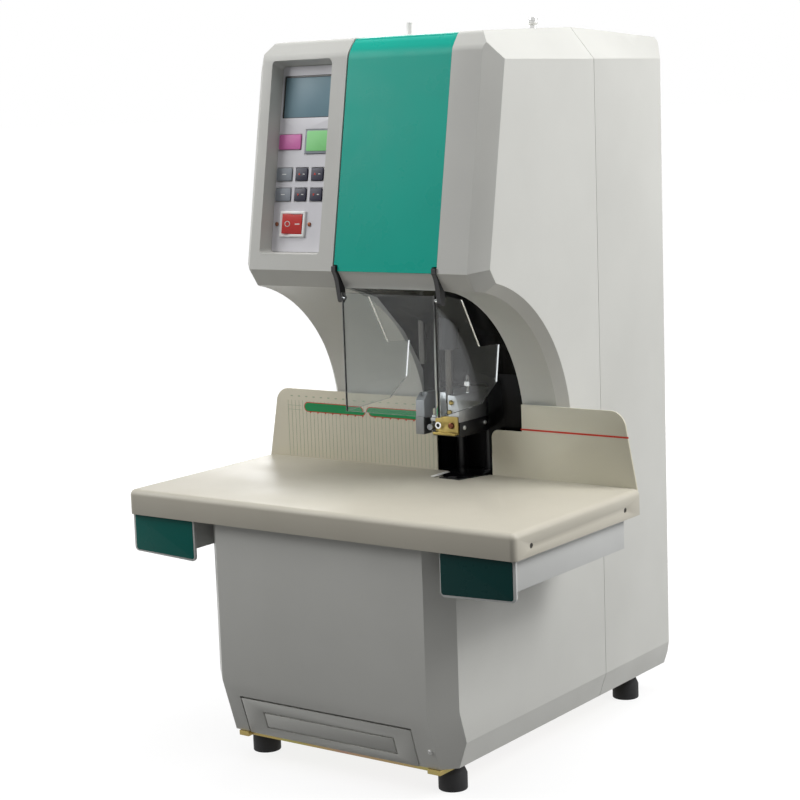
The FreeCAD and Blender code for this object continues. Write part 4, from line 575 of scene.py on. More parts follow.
def smoothed(piece: Piece, angle: float = 32.0) -> Piece:
    """Smooths the shading where faces meet at less than an angle.

    Args:
        piece: The object.
        angle: The limit in degrees.

    Returns:
        The same object.
    """
    only(piece)
    bpy.ops.object.shade_smooth_by_angle(angle=radians(angle))
    return piece


def merge(distance: float) -> None:
    """Merges an edited mesh's corners that lie together and leaves all selected."""
    bpy.ops.mesh.select_all(action="SELECT")
    bpy.ops.mesh.remove_doubles(threshold=distance)


def tidy(piece: Piece) -> Piece:
    """Merges doubles, turns faces outwards and smooths the shading.

    Args:
        piece: The object.

    Returns:
        The same object.
    """
    with editing(piece):
        merge(1e-6)
        bpy.ops.mesh.normals_make_consistent(inside=False)
    return smoothed(piece)


def upright(edge: Edge) -> bool:
    """Whether an edge runs along local Z."""
    run = edge.verts[1].co - edge.verts[0].co
    return abs(run.z) > 0.99 * run.length


def block(
    name: str, low: Point, high: Point, corner: float = 0.0, rim: float = 0.0, steps: int = 4
) -> Piece:
    """Makes a block with rounded upright edges and a softened top rim.

    Args:
        name: The piece's name.
        low: Its lowest corner.
        high: Its highest corner.
        corner: Radius of the upright edges.
        rim: Radius of the top face's edges.
        steps: Segments of each rounding.

    Returns:
        The new object.
    """
    size = Vector(high) - Vector(low)
    middle = (Vector(high) + Vector(low)) / 2
    bpy.ops.mesh.primitive_cube_add(size=1.0, location=middle)
    piece = bpy.context.object
    piece.name = name
    piece.scale = size
    settle(piece)
    with editing(piece):
        if corner > 0:
            pick(piece, "EDGE", upright)
            bpy.ops.mesh.bevel(offset=corner, segments=steps, affect="EDGES")
        if rim > 0:
            top = max(high[2], low[2]) - 1e-6
            pick(piece, "FACE", lambda f: f.normal.z > 0.9 and f.calc_center_median().z > top)
            bpy.ops.mesh.region_to_loop()
            bpy.ops.mesh.bevel(offset=rim, segments=3, affect="EDGES")
    return tidy(piece)


def turned(
    name: str, profile: list[tuple[float, float]], place: Matrix | None = None,
    sides: int = 40,
) -> Piece:
    """Makes a turned piece by extruding and resizing a disc along local Z.

    Args:
        name: The piece's name.
        profile: Radius and height, from the bottom up.
        place: Where local Z and the origin go.
        sides: Corners of the disc.

    Returns:
        The new object.
    """
    radius, height = profile[0]
    bpy.ops.mesh.primitive_circle_add(
        vertices=sides, radius=radius, fill_type="NGON", location=(0, 0, height))
    piece = bpy.context.object
    piece.name = name
    settle(piece)
    with editing(piece):
        bpy.ops.mesh.select_mode(type="FACE")
        bpy.ops.mesh.select_all(action="SELECT")
        for wide, high in profile[1:]:
            bpy.ops.mesh.extrude_region_move(
                TRANSFORM_OT_translate={"value": (0, 0, high - height)})
            bpy.ops.transform.resize(
                value=(wide / radius, wide / radius, 1), center_override=(0, 0, high))
            radius, height = wide, high
    settle(piece, place)
    return tidy(piece)


def facing(place: Point, direction: Point) -> Matrix:
    """Returns the matrix that puts the origin at a place and turns local Z to a direction."""
    turn = Vector(direction).to_track_quat("Z", "Y").to_matrix().to_4x4()
    return Matrix.Translation(place) @ turn


def worked(piece: Piece, kind: str, **settings: object) -> None:
    """Adds a modifier with its settings and applies it.

    Args:
        piece: The object.
        kind: The modifier's type.
        settings: Its properties.
    """
    only(piece)
    made = piece.modifiers.new("work", kind)
    for key, value in settings.items():
        setattr(made, key, value)
    bpy.ops.object.modifier_apply(modifier=made.name)


def cut_away(piece: Piece, *tools: Piece) -> Piece:
    """Cuts tools out of a piece and removes them.

    Args:
        piece: The object.
        tools: What is cut out, one after another.

    Returns:
        The same object.
    """
    for tool in tools:
        worked(piece, "BOOLEAN", operation="DIFFERENCE", solver="EXACT", object=tool)
        bpy.data.objects.remove(tool)
    return tidy(piece)


def joined(name: str, *pieces: Piece) -> Piece:
    """Joins pieces into one object.

    Args:
        name: The joined piece's name.
        pieces: The objects.

    Returns:
        The first of them, with all of it.
    """
    only(pieces[0])
    for piece in pieces:
        piece.select_set(True)
    bpy.ops.object.join()
    pieces[0].name = name
    return pieces[0]


def soften(piece: Piece, width: float, steps: int = 2) -> Piece:
    """Rounds a piece's sharp edges with a bevel that is applied.

    Args:
        piece: The object.
        width: The bevel's width in metres.
        steps: Its segments.

    Returns:
        The same object.
    """
    worked(piece, "BEVEL", width=width, segments=steps, limit_method="ANGLE",
           angle_limit=radians(28), harden_normals=False, use_clamp_overlap=True)
    return smoothed(piece)


def dress(piece: Piece, finish: Finish, body: str = "machine", *replaced: str) -> Piece:
    """Gives a piece its finish and the body it rides on.

    Args:
        piece: The finished object.
        finish: Its surface.
        body: The moving body that carries it.
        replaced: CAD nodes that it stands for.

    Returns:
        The same object.
    """
    piece.data.materials.clear()
    piece.data.materials.append(finish.material())
    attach(piece, body)
    if replaced:
        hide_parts(*replaced)
    LOG.info("%s rides on %s", piece.name, body)
    return piece


def refined(
    node: str, name: str, finish: Finish, body: str = "machine", edge: float = 0.0006,
    steps: int = 2,
) -> Piece:
    """Replaces a CAD node by a merged copy with softened edges.

    Args:
        node: The CAD node.
        name: The piece's name.
        finish: Its surface.
        body: The moving body that carries it.
        edge: Radius of its edges.
        steps: Segments of each rounding.

    Returns:
        The new piece.
    """
    source = bpy.data.objects[node]
    piece = bpy.data.objects.new(name, source.data.copy())
    bpy.context.scene.collection.objects.link(piece)
    if piece.data.has_custom_normals:
        only(piece)
        bpy.ops.mesh.customdata_custom_splitnormals_clear()
    with editing(piece):
        merge(2e-6)
        bpy.ops.mesh.dissolve_limited(angle_limit=radians(0.6))
    if edge > 0:
        soften(piece, edge, steps)
    return dress(smoothed(piece, 34.0), finish, body, node)


def repaint(nodes: dict[Finish, tuple[str, ...]]) -> None:
    """Gives CAD nodes that stay their finish.

    Args:
        nodes: The nodes' names by finish.
    """
    for finish, names in nodes.items():
        for name in names:
            materials = bpy.data.objects[name].data.materials
            materials.clear()
            materials.append(finish.material())


# Camera, floor and lamps


@dataclass
class Studio:
    """The pale floor, the world, the lamps and the camera."""

    eye: Point = (1.12813, -1.60675, 0.63662)
    yaw: float = 36.193
    pitch: float = 8.506
    roll: float = -2.033
    lens: float = 87.752
    sky: float = 0.07
    floor_size: float = 300.0
    floor_glow: float = 0.84
    floor_tone: str = "#787878"
    aim: Point = (0.0, 0.0, 0.4)

    def camera(self) -> None:
        """Adds the camera."""
        bpy.ops.object.camera_add(location=self.eye)
        camera = bpy.context.object
        camera.name = "camera"
        camera.data.lens = self.lens
        camera.data.sensor_width = 36.0
        camera.data.clip_start = 0.05
        turn = (
            Matrix.Rotation(radians(self.yaw), 4, "Z")
            @ Matrix.Rotation(radians(90 - self.pitch), 4, "X")
            @ Matrix.Rotation(radians(self.roll), 4, "Z")
        )
        camera.matrix_world = Matrix.Translation(self.eye) @ turn
        bpy.context.scene.camera = camera

    def floor(self) -> None:
        """Adds the floor, which shows white where nothing shades it."""
        bpy.ops.mesh.primitive_plane_add(size=self.floor_size)
        floor = bpy.context.object
        floor.name = "floor"
        g = Graph("floor_white")
        lit = g.node("ShaderNodeBsdfDiffuse", {"Color": tone(self.floor_tone)})
        away = g.node("ShaderNodeVectorMath", {0: g.places}, operation="LENGTH")
        glow = g.node("ShaderNodeEmission", {
            "Strength": g.spread(away.outputs["Value"], self.floor_glow, 1.0, 0.5, 2.2)})
        dark = g.node("ShaderNodeEmission", {"Strength": 0.0})
        shown = g.either(g.seen(), dark, glow)
        both = g.node("ShaderNodeAddShader", {0: lit.outputs[0], 1: shown.outputs[0]})
        floor.data.materials.append(g.ended(both))

    def world(self) -> None:
        """Lights the scene softly from all round, and shows white behind it."""
        g = Graph("studio", world=True)
        bpy.context.scene.world = g.ended(g.node("ShaderNodeBackground", {
            "Color": tone("#FFFFFF"), "Strength": g.spread(g.seen(), self.sky, 1.0)}))

    def lamp(self, name: str, place: Point, aim: Point, size: float, power: float) -> None:
        """Adds one soft box.

        Args:
            name: The lamp's name.
            place: Where it hangs.
            aim: What it points at.
            size: Its side in metres.
            power: Its watts.
        """
        bpy.ops.object.light_add(type="AREA", location=place)
        lamp = bpy.context.object
        lamp.name = name
        lamp.data.shape = "SQUARE"
        lamp.data.size = size
        lamp.data.energy = power
        direction = Vector(aim) - Vector(place)
        lamp.matrix_world = (
            Matrix.Translation(place) @ direction.to_track_quat("-Z", "Y").to_matrix().to_4x4())

    def build(self) -> None:
        """Sets the view and adds everything round the machine."""
        bpy.context.scene.view_settings.view_transform = "Standard"
        self.camera()
        self.floor()
        self.world()
        for name, place, aim, size, power in (
            ("side_lamp", (2.1, 0.9, 1.3), self.aim, 1.3, 23.0),
            ("high_side_lamp", (1.9, 0.7, 2.1), self.aim, 1.0, 33.0),
            ("left_lamp", (-1.7, -1.3, 1.7), (0.0, -0.1, 0.4), 1.3, 32.0),
            ("top_lamp", (0.4, -0.2, 4.8), self.aim, 3.4, 128.0),
            ("back_lamp", (-1.1, 1.9, 0.8), self.aim, 1.3, 24.0),
        ):
            self.lamp(name, place, aim, size, power)


# Sub-assemblies


def at(x: float, y: float, z: float) -> Point:
    """Returns a place given in millimetres."""
    return (x * MM, y * MM, z * MM)


def stood_up(y: float) -> Matrix:
    """Returns the matrix that stands a flat piece up, its top to the user, at a Y in mm."""
    return Matrix(((1, 0, 0, 0), (0, 0, -1, y * MM), (0, 1, 0, 0), (0, 0, 0, 1)))


def picked_bevel(
    piece: Piece, test: Callable[[object], bool], radius: float, steps: int
) -> None:
    """Rounds the edges of a piece that pass a test.

    Args:
        piece: The object.
        test: Takes an edge.
        radius: Radius in millimetres.
        steps: Segments of the rounding.
    """
    with editing(piece):
        pick(piece, "EDGE", test)
        bpy.ops.mesh.bevel(offset=radius * MM, segments=steps, affect="EDGES", clamp_overlap=True)


def ends(edge: Edge, frame: Matrix | None = None) -> tuple[Vector, Vector, Vector]:
    """Returns an edge's two ends and its middle in millimetres, as a frame sees them."""
    first, last = ((v.co if frame is None else frame.inverted() @ v.co) / MM for v in edge.verts)
    return first, last, (first + last) / 2


def ring(name: str, outer: float, inner: float, height: float, place: Matrix) -> Piece:
    """Makes a flat ring with softened rims.

    Args:
        name: The piece's name.
        outer: Outer radius in millimetres.
        inner: Inner radius in millimetres.
        height: Its height in millimetres.
        place: Where its underside's middle goes.

    Returns:
        The new object.
    """
    rim = min(0.3 * height, 0.2)
    piece = turned(name, [
        (outer * MM, 0.0), (outer * MM, (height - rim) * MM),
        ((outer - rim) * MM, height * MM)])
    hole = turned("hole", [(inner * MM, -MM), (inner * MM, (height + 1) * MM)])
    return settle(cut_away(piece, hole), place)


class Drive(Enum):
    """The recess in a screw's head."""

    NONE = ()
    SLOT = (0,)
    CROSS = (0, 90)


def screw(
    name: str, radius: float, height: float, place: Matrix, drive: Drive = Drive.CROSS,
    sides: int = 32,
) -> Piece:
    """Makes a domed screw head with its drive.

    Args:
        name: The piece's name.
        radius: Radius in millimetres.
        height: Height in millimetres.
        place: Where its underside's middle goes.
        drive: Its recess.
        sides: Corners of its outline, 6 for a hexagon.

    Returns:
        The new object.
    """
    r, h = radius * MM, height * MM
    piece = turned(name, [(r, 0.0), (r, h * 0.55), (r * 0.93, h * 0.8), (r * 0.7, h)],
                   sides=sides)
    for angle in drive.value:
        groove = block("groove", (-r * 0.75, -r * 0.11, h * 0.55), (r * 0.75, r * 0.11, h * 1.5),
                       r * 0.05, steps=1)
        settle(groove, Matrix.Rotation(radians(angle), 4, "Z"))
        piece = cut_away(piece, groove)
    return settle(piece, place)


@dataclass
class Casing:
    """The moulded shells, the green skin and the throat sheet."""

    shell_edge: float = 0.0014
    half_width: float = 145.0
    corner_radius: float = 3.0
    brow_radius: float = 7.0
    brow_heights: tuple[float, float] = (680.0, 712.0)
    seam: float = 78.5
    recess: Box = (-115.5, -47.0, 19.0, 203.0)
    gap_width: float = 0.9
    gap: tuple[Point, Point] = ((-25.6, 6.0, -1.9), (-24.6, 206.0, -1.6))

    def outer_corner(self, edge: Edge) -> bool:
        """Whether an edge belongs to the chamfers of the base, the head, the arch or the roof.

        Args:
            edge: An edge of a shell.

        Returns:
            Whether it is rounded as a corner.
        """
        first, last, middle = ends(edge)
        if abs(middle.x) < self.half_width - 24 or (last - first).length < 4:
            return False
        if len(edge.link_faces) < 2 or not edge.is_convex:
            return False
        turn = degrees(edge.calc_face_angle(0.0))
        outside = all(f.normal.x * middle.x > -0.01 * abs(middle.x) for f in edge.link_faces)
        seam = abs(middle.y - self.seam) < 1.2 and abs(first.y - last.y) < 0.5
        return outside and not seam and middle.z > 30 and 15 < turn < 65

    def brow(self, edge: Edge) -> bool:
        """Whether an edge runs across the head where its face turns into the roof.

        Args:
            edge: An edge of a shell.

        Returns:
            Whether it is rounded as the brow.
        """
        first, last, middle = ends(edge)
        low, high = self.brow_heights
        across = abs(first.x - last.x) > 0.9 * (last - first).length > 9
        turn = degrees(edge.calc_face_angle(0.0))
        return (across and edge.is_convex and low < middle.z < high and middle.y < -55
                and 8 < turn < 70)

    def recess_corner(self, edge: Edge) -> bool:
        """Whether an edge runs into the control recess at one of its corners.

        Args:
            edge: An edge of the front shell.

        Returns:
            Whether it is rounded there.
        """
        first, last, _ = ends(edge, SLOPE)
        left, right, low, high = self.recess
        deep = abs(first.z - last.z) > 10 and max(first.z, last.z) < 1
        near_x = min(abs(first.x - left), abs(first.x - right)) < 6
        near_v = min(abs(first.y - low), abs(first.y - high)) < 6
        return deep and near_x and near_v and min(first.z, last.z) > -16

    def build(self) -> None:
        """Refines the shells and covers."""
        shell = refined("front_housing", "front_shell", Finish.HOUSING, edge=0)
        picked_bevel(shell, self.recess_corner, 4.0, 5)
        picked_bevel(shell, self.brow, self.brow_radius, 6)
        picked_bevel(shell, self.outer_corner, self.corner_radius, 4)
        soften(shell, self.shell_edge)
        shell = refined("rear_cover", "rear_shell", Finish.HOUSING, edge=0)
        picked_bevel(shell, self.outer_corner, self.corner_radius, 4)
        soften(shell, self.shell_edge)
        shell = refined("centre_cover", "centre_shell", Finish.HOUSING, edge=0)
        picked_bevel(shell, self.brow, self.brow_radius, 6)
        soften(shell, 0.0008)
        refined("throat_cover", "throat_sheet", Finish.LACQUER, edge=0.0003)
        skin = refined("centre_panel", "green_skin", Finish.GREEN, edge=0)
        picked_bevel(skin, self.brow, self.brow_radius, 6)
        soften(skin, 0.0004)
        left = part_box("centre_panel")[0][0]
        with editing(skin):
            pick(skin, "VERT", lambda v: v.co.x < left + 0.0007)
            bpy.ops.transform.translate(value=(self.gap_width * MM, 0, 0))
        # A black strip at the bottom of the widened gap left of the green skin: painted shade of
        # the gap.
        low, high = self.gap
        strip = block("skin_gap_painted_shade", at(*low), at(*high), 0.0003, 0.0001, 2)
        dress(settle(strip, SLOPE), Finish.BLACK)


@dataclass
class Base:
    """The base plate, the feet and the waste drawer."""

    screw_place: tuple[float, float, float] = (117.7, -197.9, 47.4)
    slant: float = 17.7

    def build(self) -> None:
        """Refines the base's pieces and adds the small screw beside the drawer."""
        refined("waste_drawer", "waste_tray_front", Finish.HOUSING, "waste_tray", edge=0.0005)
        refined("base_plate", "base_sheet", Finish.ZINC, edge=0.0003)
        refined("feet", "rubber_feet", Finish.RUBBER, edge=0.0009, steps=3)
        lean = radians(self.slant)
        place = facing(at(*self.screw_place), (0, -cos(lean), -sin(lean)))
        dress(screw("drawer_stop_screw", 2.6, 1.0, place), Finish.WHITE)


@dataclass
class Table:
    """The table, the fence and the side drawers."""

    screw_places: tuple[tuple[float, float], ...] = ((-191.1, 3.4), (-24.2, 2.6))
    skirt: tuple[float, float] = (227.6, 253.0)
    film_face: float = -214.5
    film_heights: tuple[float, float] = (204.4, 243.0)
    strip: tuple[Point, Point] = ((11.0, -33.0, 269.2), (16.6, -5.0, 269.75))

    def drawer(self, side: str, body: str, low_x: float, high_x: float, tilt: float) -> None:
        """Dresses one side drawer: its box, its pale front plate and the dark film on it.

        Args:
            side: left or right.
            body: The body that carries it.
            low_x: Left edge of its film.
            high_x: Right edge of its film.
            tilt: How far the lower edge rises to its outer end.
        """
        refined(f"{side}_drawer", f"{side}_tray_box", Finish.DRAWER, body)
        refined(f"{side}_drawer_front", f"{side}_tray_plate", Finish.DRAWER, body, 0.0004)
        low, high = self.film_heights
        film = block(f"{side}_tray_film", at(low_x, low, -0.25), at(high_x, high, 0.2), 0.0025,
                     0.0001)
        with editing(film):
            bpy.ops.mesh.select_mode(type="VERT")
            mesh = bmesh.from_edit_mesh(film.data)
            for vertex in mesh.verts:
                if vertex.co.y < 0.215:
                    share = (vertex.co.x / MM - low_x) / (high_x - low_x)
                    vertex.co.y += tilt * MM * (share if tilt > 0 else share - 1)
            bmesh.update_edit_mesh(film.data)
        # The right drawer's film takes the darker copy of the same green: painted shade.
        finish = Finish.DARK_GREEN if side == "left" else Finish.SHADED_GREEN
        dress(settle(film, stood_up(self.film_face)), finish, body)

    def screws(self) -> None:
        """Adds the four screws of the skirt."""
        heads = []
        x, z = self.skirt
        for side in (-1, 1):
            for y, radius in self.screw_places:
                place = facing(at(side * x, y, z), (side, 0, 0))
                heads.append(screw("skirt_screw", radius, 1.5, place))
        dress(joined("skirt_screws", *heads), Finish.DARK_SCREW)

    def build(self) -> None:
        """Refines the table's pieces."""
        refined("table_plate", "table_top", Finish.TABLE, edge=0.0004)
        refined("fence", "back_fence", Finish.FENCE, edge=0.0004)
        refined("anvil", "anvil_tongue", Finish.TONGUE, edge=0.0004)
        low, high = self.strip
        # The strip is dressed in matt white instead of bright metal so that it shows bright: a
        # painted highlight.
        dress(block("guide_strip_painted_glint", at(*low), at(*high), 0.0012, 0.0002), Finish.WHITE)
        self.drawer("left", "left_tray", -225.0, -148.6, -2.8)
        self.drawer("right", "right_tray", 147.5, 224.4, 2.8)
        self.screws()


@dataclass
class FencePrint:
    """The printed guide lines on the fence."""

    face: float = 3.5
    thick: float = 0.08
    line_from: float = -200.0
    line_to: float = -6.0
    line_pitch: float = 5.0
    line_low: float = 269.5
    line_high: float = 330.0
    band: tuple[float, float] = (319.0, 328.0)
    capsules: tuple[tuple[float, float], ...] = ((-177.0, -96.0), (-91.0, -12.0))
    stripe: Box = (96.9, 219.0, 316.6, 318.4)

    def bar(self, name: str, left: float, right: float, low: float, high: float,
            lift: float = 0.0) -> Piece:
        """Makes one printed bar with rounded ends, in front of the fence.

        Args:
            name: The piece's name.
            left: Left end.
            right: Right end.
            low: Lower side.
            high: Upper side.
            lift: How far it stands off the fence.

        Returns:
            The new object.
        """
        corner = min(right - left, high - low) * 0.49 * MM
        piece = block(name, at(left, low, lift), at(right, high, lift + self.thick), corner,
                      steps=6 if high - low > 4 else 2)
        return settle(piece, stood_up(self.face))

    def lines(self) -> None:
        """Prints the fine upright lines: one is made and repeated."""
        line = self.bar("guide_lines", self.line_from, self.line_from + 0.45, self.line_low,
                        self.line_high)
        worked(line, "ARRAY", count=int((self.line_to - self.line_from) / self.line_pitch) + 1,
               use_relative_offset=False, use_constant_offset=True,
               constant_offset_displace=(self.line_pitch * MM, 0, 0))
        dress(line, Finish.PRINT_PALE)
        rows = [self.bar("row", self.line_from, -182.0, z, z + 0.4, 0.01) for z in (319.5, 324.0)]
        ticks = [self.bar("tick", x, x + 3.2, 334.0, 335.2, 0.01)
                 for x in range(-196, -10, 10)]
        dress(joined("guide_ticks", *rows, *ticks), Finish.PRINT_PALE)

    def band_prints(self) -> None:
        """Prints the green capsules with their red outlines and ticks."""
        low, high = self.band
        greens, reds = [], []
        for left, right in self.capsules:
            reds.append(self.bar("outline", left - 0.8, right + 0.8, low - 0.8, high + 0.8, 0.02))
            greens.append(self.bar("capsule", left, right, low, high, 0.05))
            x = left + 7.0
            while x < right - 3:
                reds.append(self.bar("mark", x, x + 1.6, low - 2.2, low + 0.4, 0.02))
                x += 10.0
        dress(joined("limit_outlines", *reds), Finish.PRINT_RED)
        dress(joined("limit_capsules", *greens), Finish.PRINT_GREEN)

    def build(self) -> None:
        """Prints everything."""
        self.lines()
        self.band_prints()
        dress(self.bar("height_stripe", *self.stripe), Finish.PRINT_RED)


@dataclass
class Guard:
    """The clear guard on its brackets."""

    outer_bend: float = 4.5
    inner_bend: float = 1.6
    thick: float = 3.0
    arm_taper: float = 0.72
    arm_clear: float = 0.0045

    def build(self) -> None:
        """Bends the guard's corners, narrows its arms and adds the pins."""
        guard = refined("guard", "clear_guard", Finish.ACRYLIC, "guard", 0)
        low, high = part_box("guard")

        def bend(edge: Edge, depth: float) -> bool:
            """Whether an edge is one of the two front corners.

            Args:
                edge: An edge of the guard.
                depth: How far inside the guard's outline it runs, in millimetres.

            Returns:
                Whether it is rounded.
            """
            first, last, middle = ends(edge)
            side = min(middle.x - low[0] / MM, high[0] / MM - middle.x)
            return (abs(first.z - last.z) > 80 and abs(side - depth) < 0.4
                    and abs(middle.y - low[1] / MM - depth) < 0.4)

        picked_bevel(guard, lambda e: bend(e, 0.0), self.outer_bend, 6)
        picked_bevel(guard, lambda e: bend(e, self.thick), self.inner_bend, 5)
        soften(guard, 0.0003)
        low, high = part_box("guard_pins")
        y, z = (low[1] + high[1]) / 2, (low[2] + high[2]) / 2
        arms = refined("guard_brackets", "guard_arms", Finish.BLACK_AND_SHADE, edge=0)
        with editing(arms):
            pick(arms, "VERT", lambda v: v.co.z < z + self.arm_clear)
            bpy.ops.transform.resize(value=(1, self.arm_taper, 1), center_override=(0, y, z))
        soften(arms, 0.0008, 3)
        pins = []
        for x, side in ((low[0], -1), (high[0], 1)):
            pins.append(turned("pin", [
                (0.0016, 0.0), (0.0019, 0.0004), (0.0019, 0.003), (0.0015, 0.0034),
                (0.0015, 0.006)], facing((x, y, z), (-side, 0, 0)), 24))
        dress(joined("hinge_pins", *pins), Finish.BRIGHT, "machine", "guard_pins")


@dataclass
class PressHead:
    """The clamp over the paper, the tube post and the hollow drill."""

    front: float = -37.5
    low: float = 312.0
    left: float = 17.0
    right: float = 51.0
    top: float = 354.0

    def knurled(self, name: str, radius: float, length: float, place: Matrix) -> Piece:
        """Makes a knurled knob: every other flute is drawn in.

        Args:
            name: The piece's name.
            radius: Radius in millimetres.
            length: Length in millimetres.
            place: Where its foot goes.

        Returns:
            The new object.
        """
        r, h = radius * MM, length * MM
        knob = turned(name, [
            (r * 0.85, 0.0), (r, h * 0.08), (r, h * 0.8), (r * 0.9, h * 0.86),
            (r * 0.72, h * 0.86), (r * 0.72, h)], sides=36)
        with editing(knob):
            pick(knob, "FACE", lambda f: abs(f.normal.z) < 0.2
                 and f.calc_center_median().xy.length > r * 0.95
                 and round(degrees(atan2(*f.calc_center_median().xy)) / 10 - 0.5) % 2)
            bpy.ops.mesh.inset(thickness=r * 0.02, depth=-r * 0.08, use_individual=True)
        knob.data.update()
        return settle(knob, place)

    def spot(self, across: float, back: float, up: float, way: Point = (0, -1, 0)) -> Matrix:
        """Returns the place of a piece on the clamp.

        Args:
            across: Millimetres from its left side.
            back: Millimetres behind its front.
            up: Millimetres over its foot.
            way: Where the piece's local Z points.

        Returns:
            The matrix of the piece's origin and local Z.
        """
        return facing(at(self.left + across, self.front + back, self.low + up), way)

    def screws(self) -> None:
        """Adds the screws, the nut on its stud and the stop knob."""
        knob = self.knurled("stop_knob", 3.2, 9.6, self.spot(4, 2, 10))
        collar = ring("stop_collar", 3.1, 1.9, 1.2, self.spot(4, -6.6, 10))
        dress(joined("stop_knob", knob, collar), Finish.CAST, "press_head", "head_screws")
        end = self.spot(12.5, -2.5, 12)
        dress(ring("tube_collar", 3.6, 2.0, 3.0, end), Finish.BRIGHT, "press_head")
        # A black disc down in the collar's hole: painted shade of the hole.
        core = turned("collar_hole_painted_shade", [(0.0021, 0.0), (0.0021, 0.0008)], end, 24)
        dress(core, Finish.BLACK, "press_head")
        dress(screw("bracket_screw", 3.0, 2.2, self.spot(26.5, -2.5, 12), Drive.SLOT),
              Finish.COPPER, "press_head")
        high = screw("block_screw_high", 2.6, 2.5, self.spot(26, 0, 35), Drive.NONE, 6)
        low = screw("block_screw_low", 2.2, 2.5, self.spot(24, 0, 25.5), Drive.SLOT)
        dress(joined("block_screws", high, low), Finish.BRASS, "press_head")
        side = self.right - self.left
        heads = [screw("shoe_screw", 2.2, 1.5, self.spot(side, y, 9, (1, 0, 0))) for y in (9, 46)]
        dress(joined("shoe_screws", *heads), Finish.WHITE_METAL, "press_head")
        foot = at(self.right - 5, self.front + 24, self.top)
        threads: list[tuple[float, float]] = [(0.002, 0.0)]
        for turn in range(22):
            threads += [(0.002, (0.4 + turn * 0.8) * MM), (0.00175, (0.8 + turn * 0.8) * MM)]
        stud = turned("height_stud", threads, facing(foot, (0, 0, 1)), 24)
        nut = screw("height_nut", 3.5, 5.0, Matrix.Translation(foot) @ Matrix.Translation(
            (0, 0, 0.007)), Drive.NONE, 6)
        dress(joined("height_stud", stud, nut), Finish.BRIGHT, "press_head")

    def build(self) -> None:
        """Refines the clamp and adds what is screwed to it."""
        refined("clamp_block", "clamp_arm", Finish.ALUMINIUM, "press_head", 0.0005)
        refined("clamp_foot", "clamp_shoe", Finish.BLACK_AND_SHADE, "press_head", 0.0005)
        refined("tube_arm", "tube_post", Finish.CAST, "press_head", 0.0006)
        refined("brass_bracket", "brass_angle", Finish.BRASS, "press_head", 0.0003)
        refined("drill_spindle", "hollow_drill", Finish.DARK_SCREW, "spindle", 0.0002)
        self.screws()


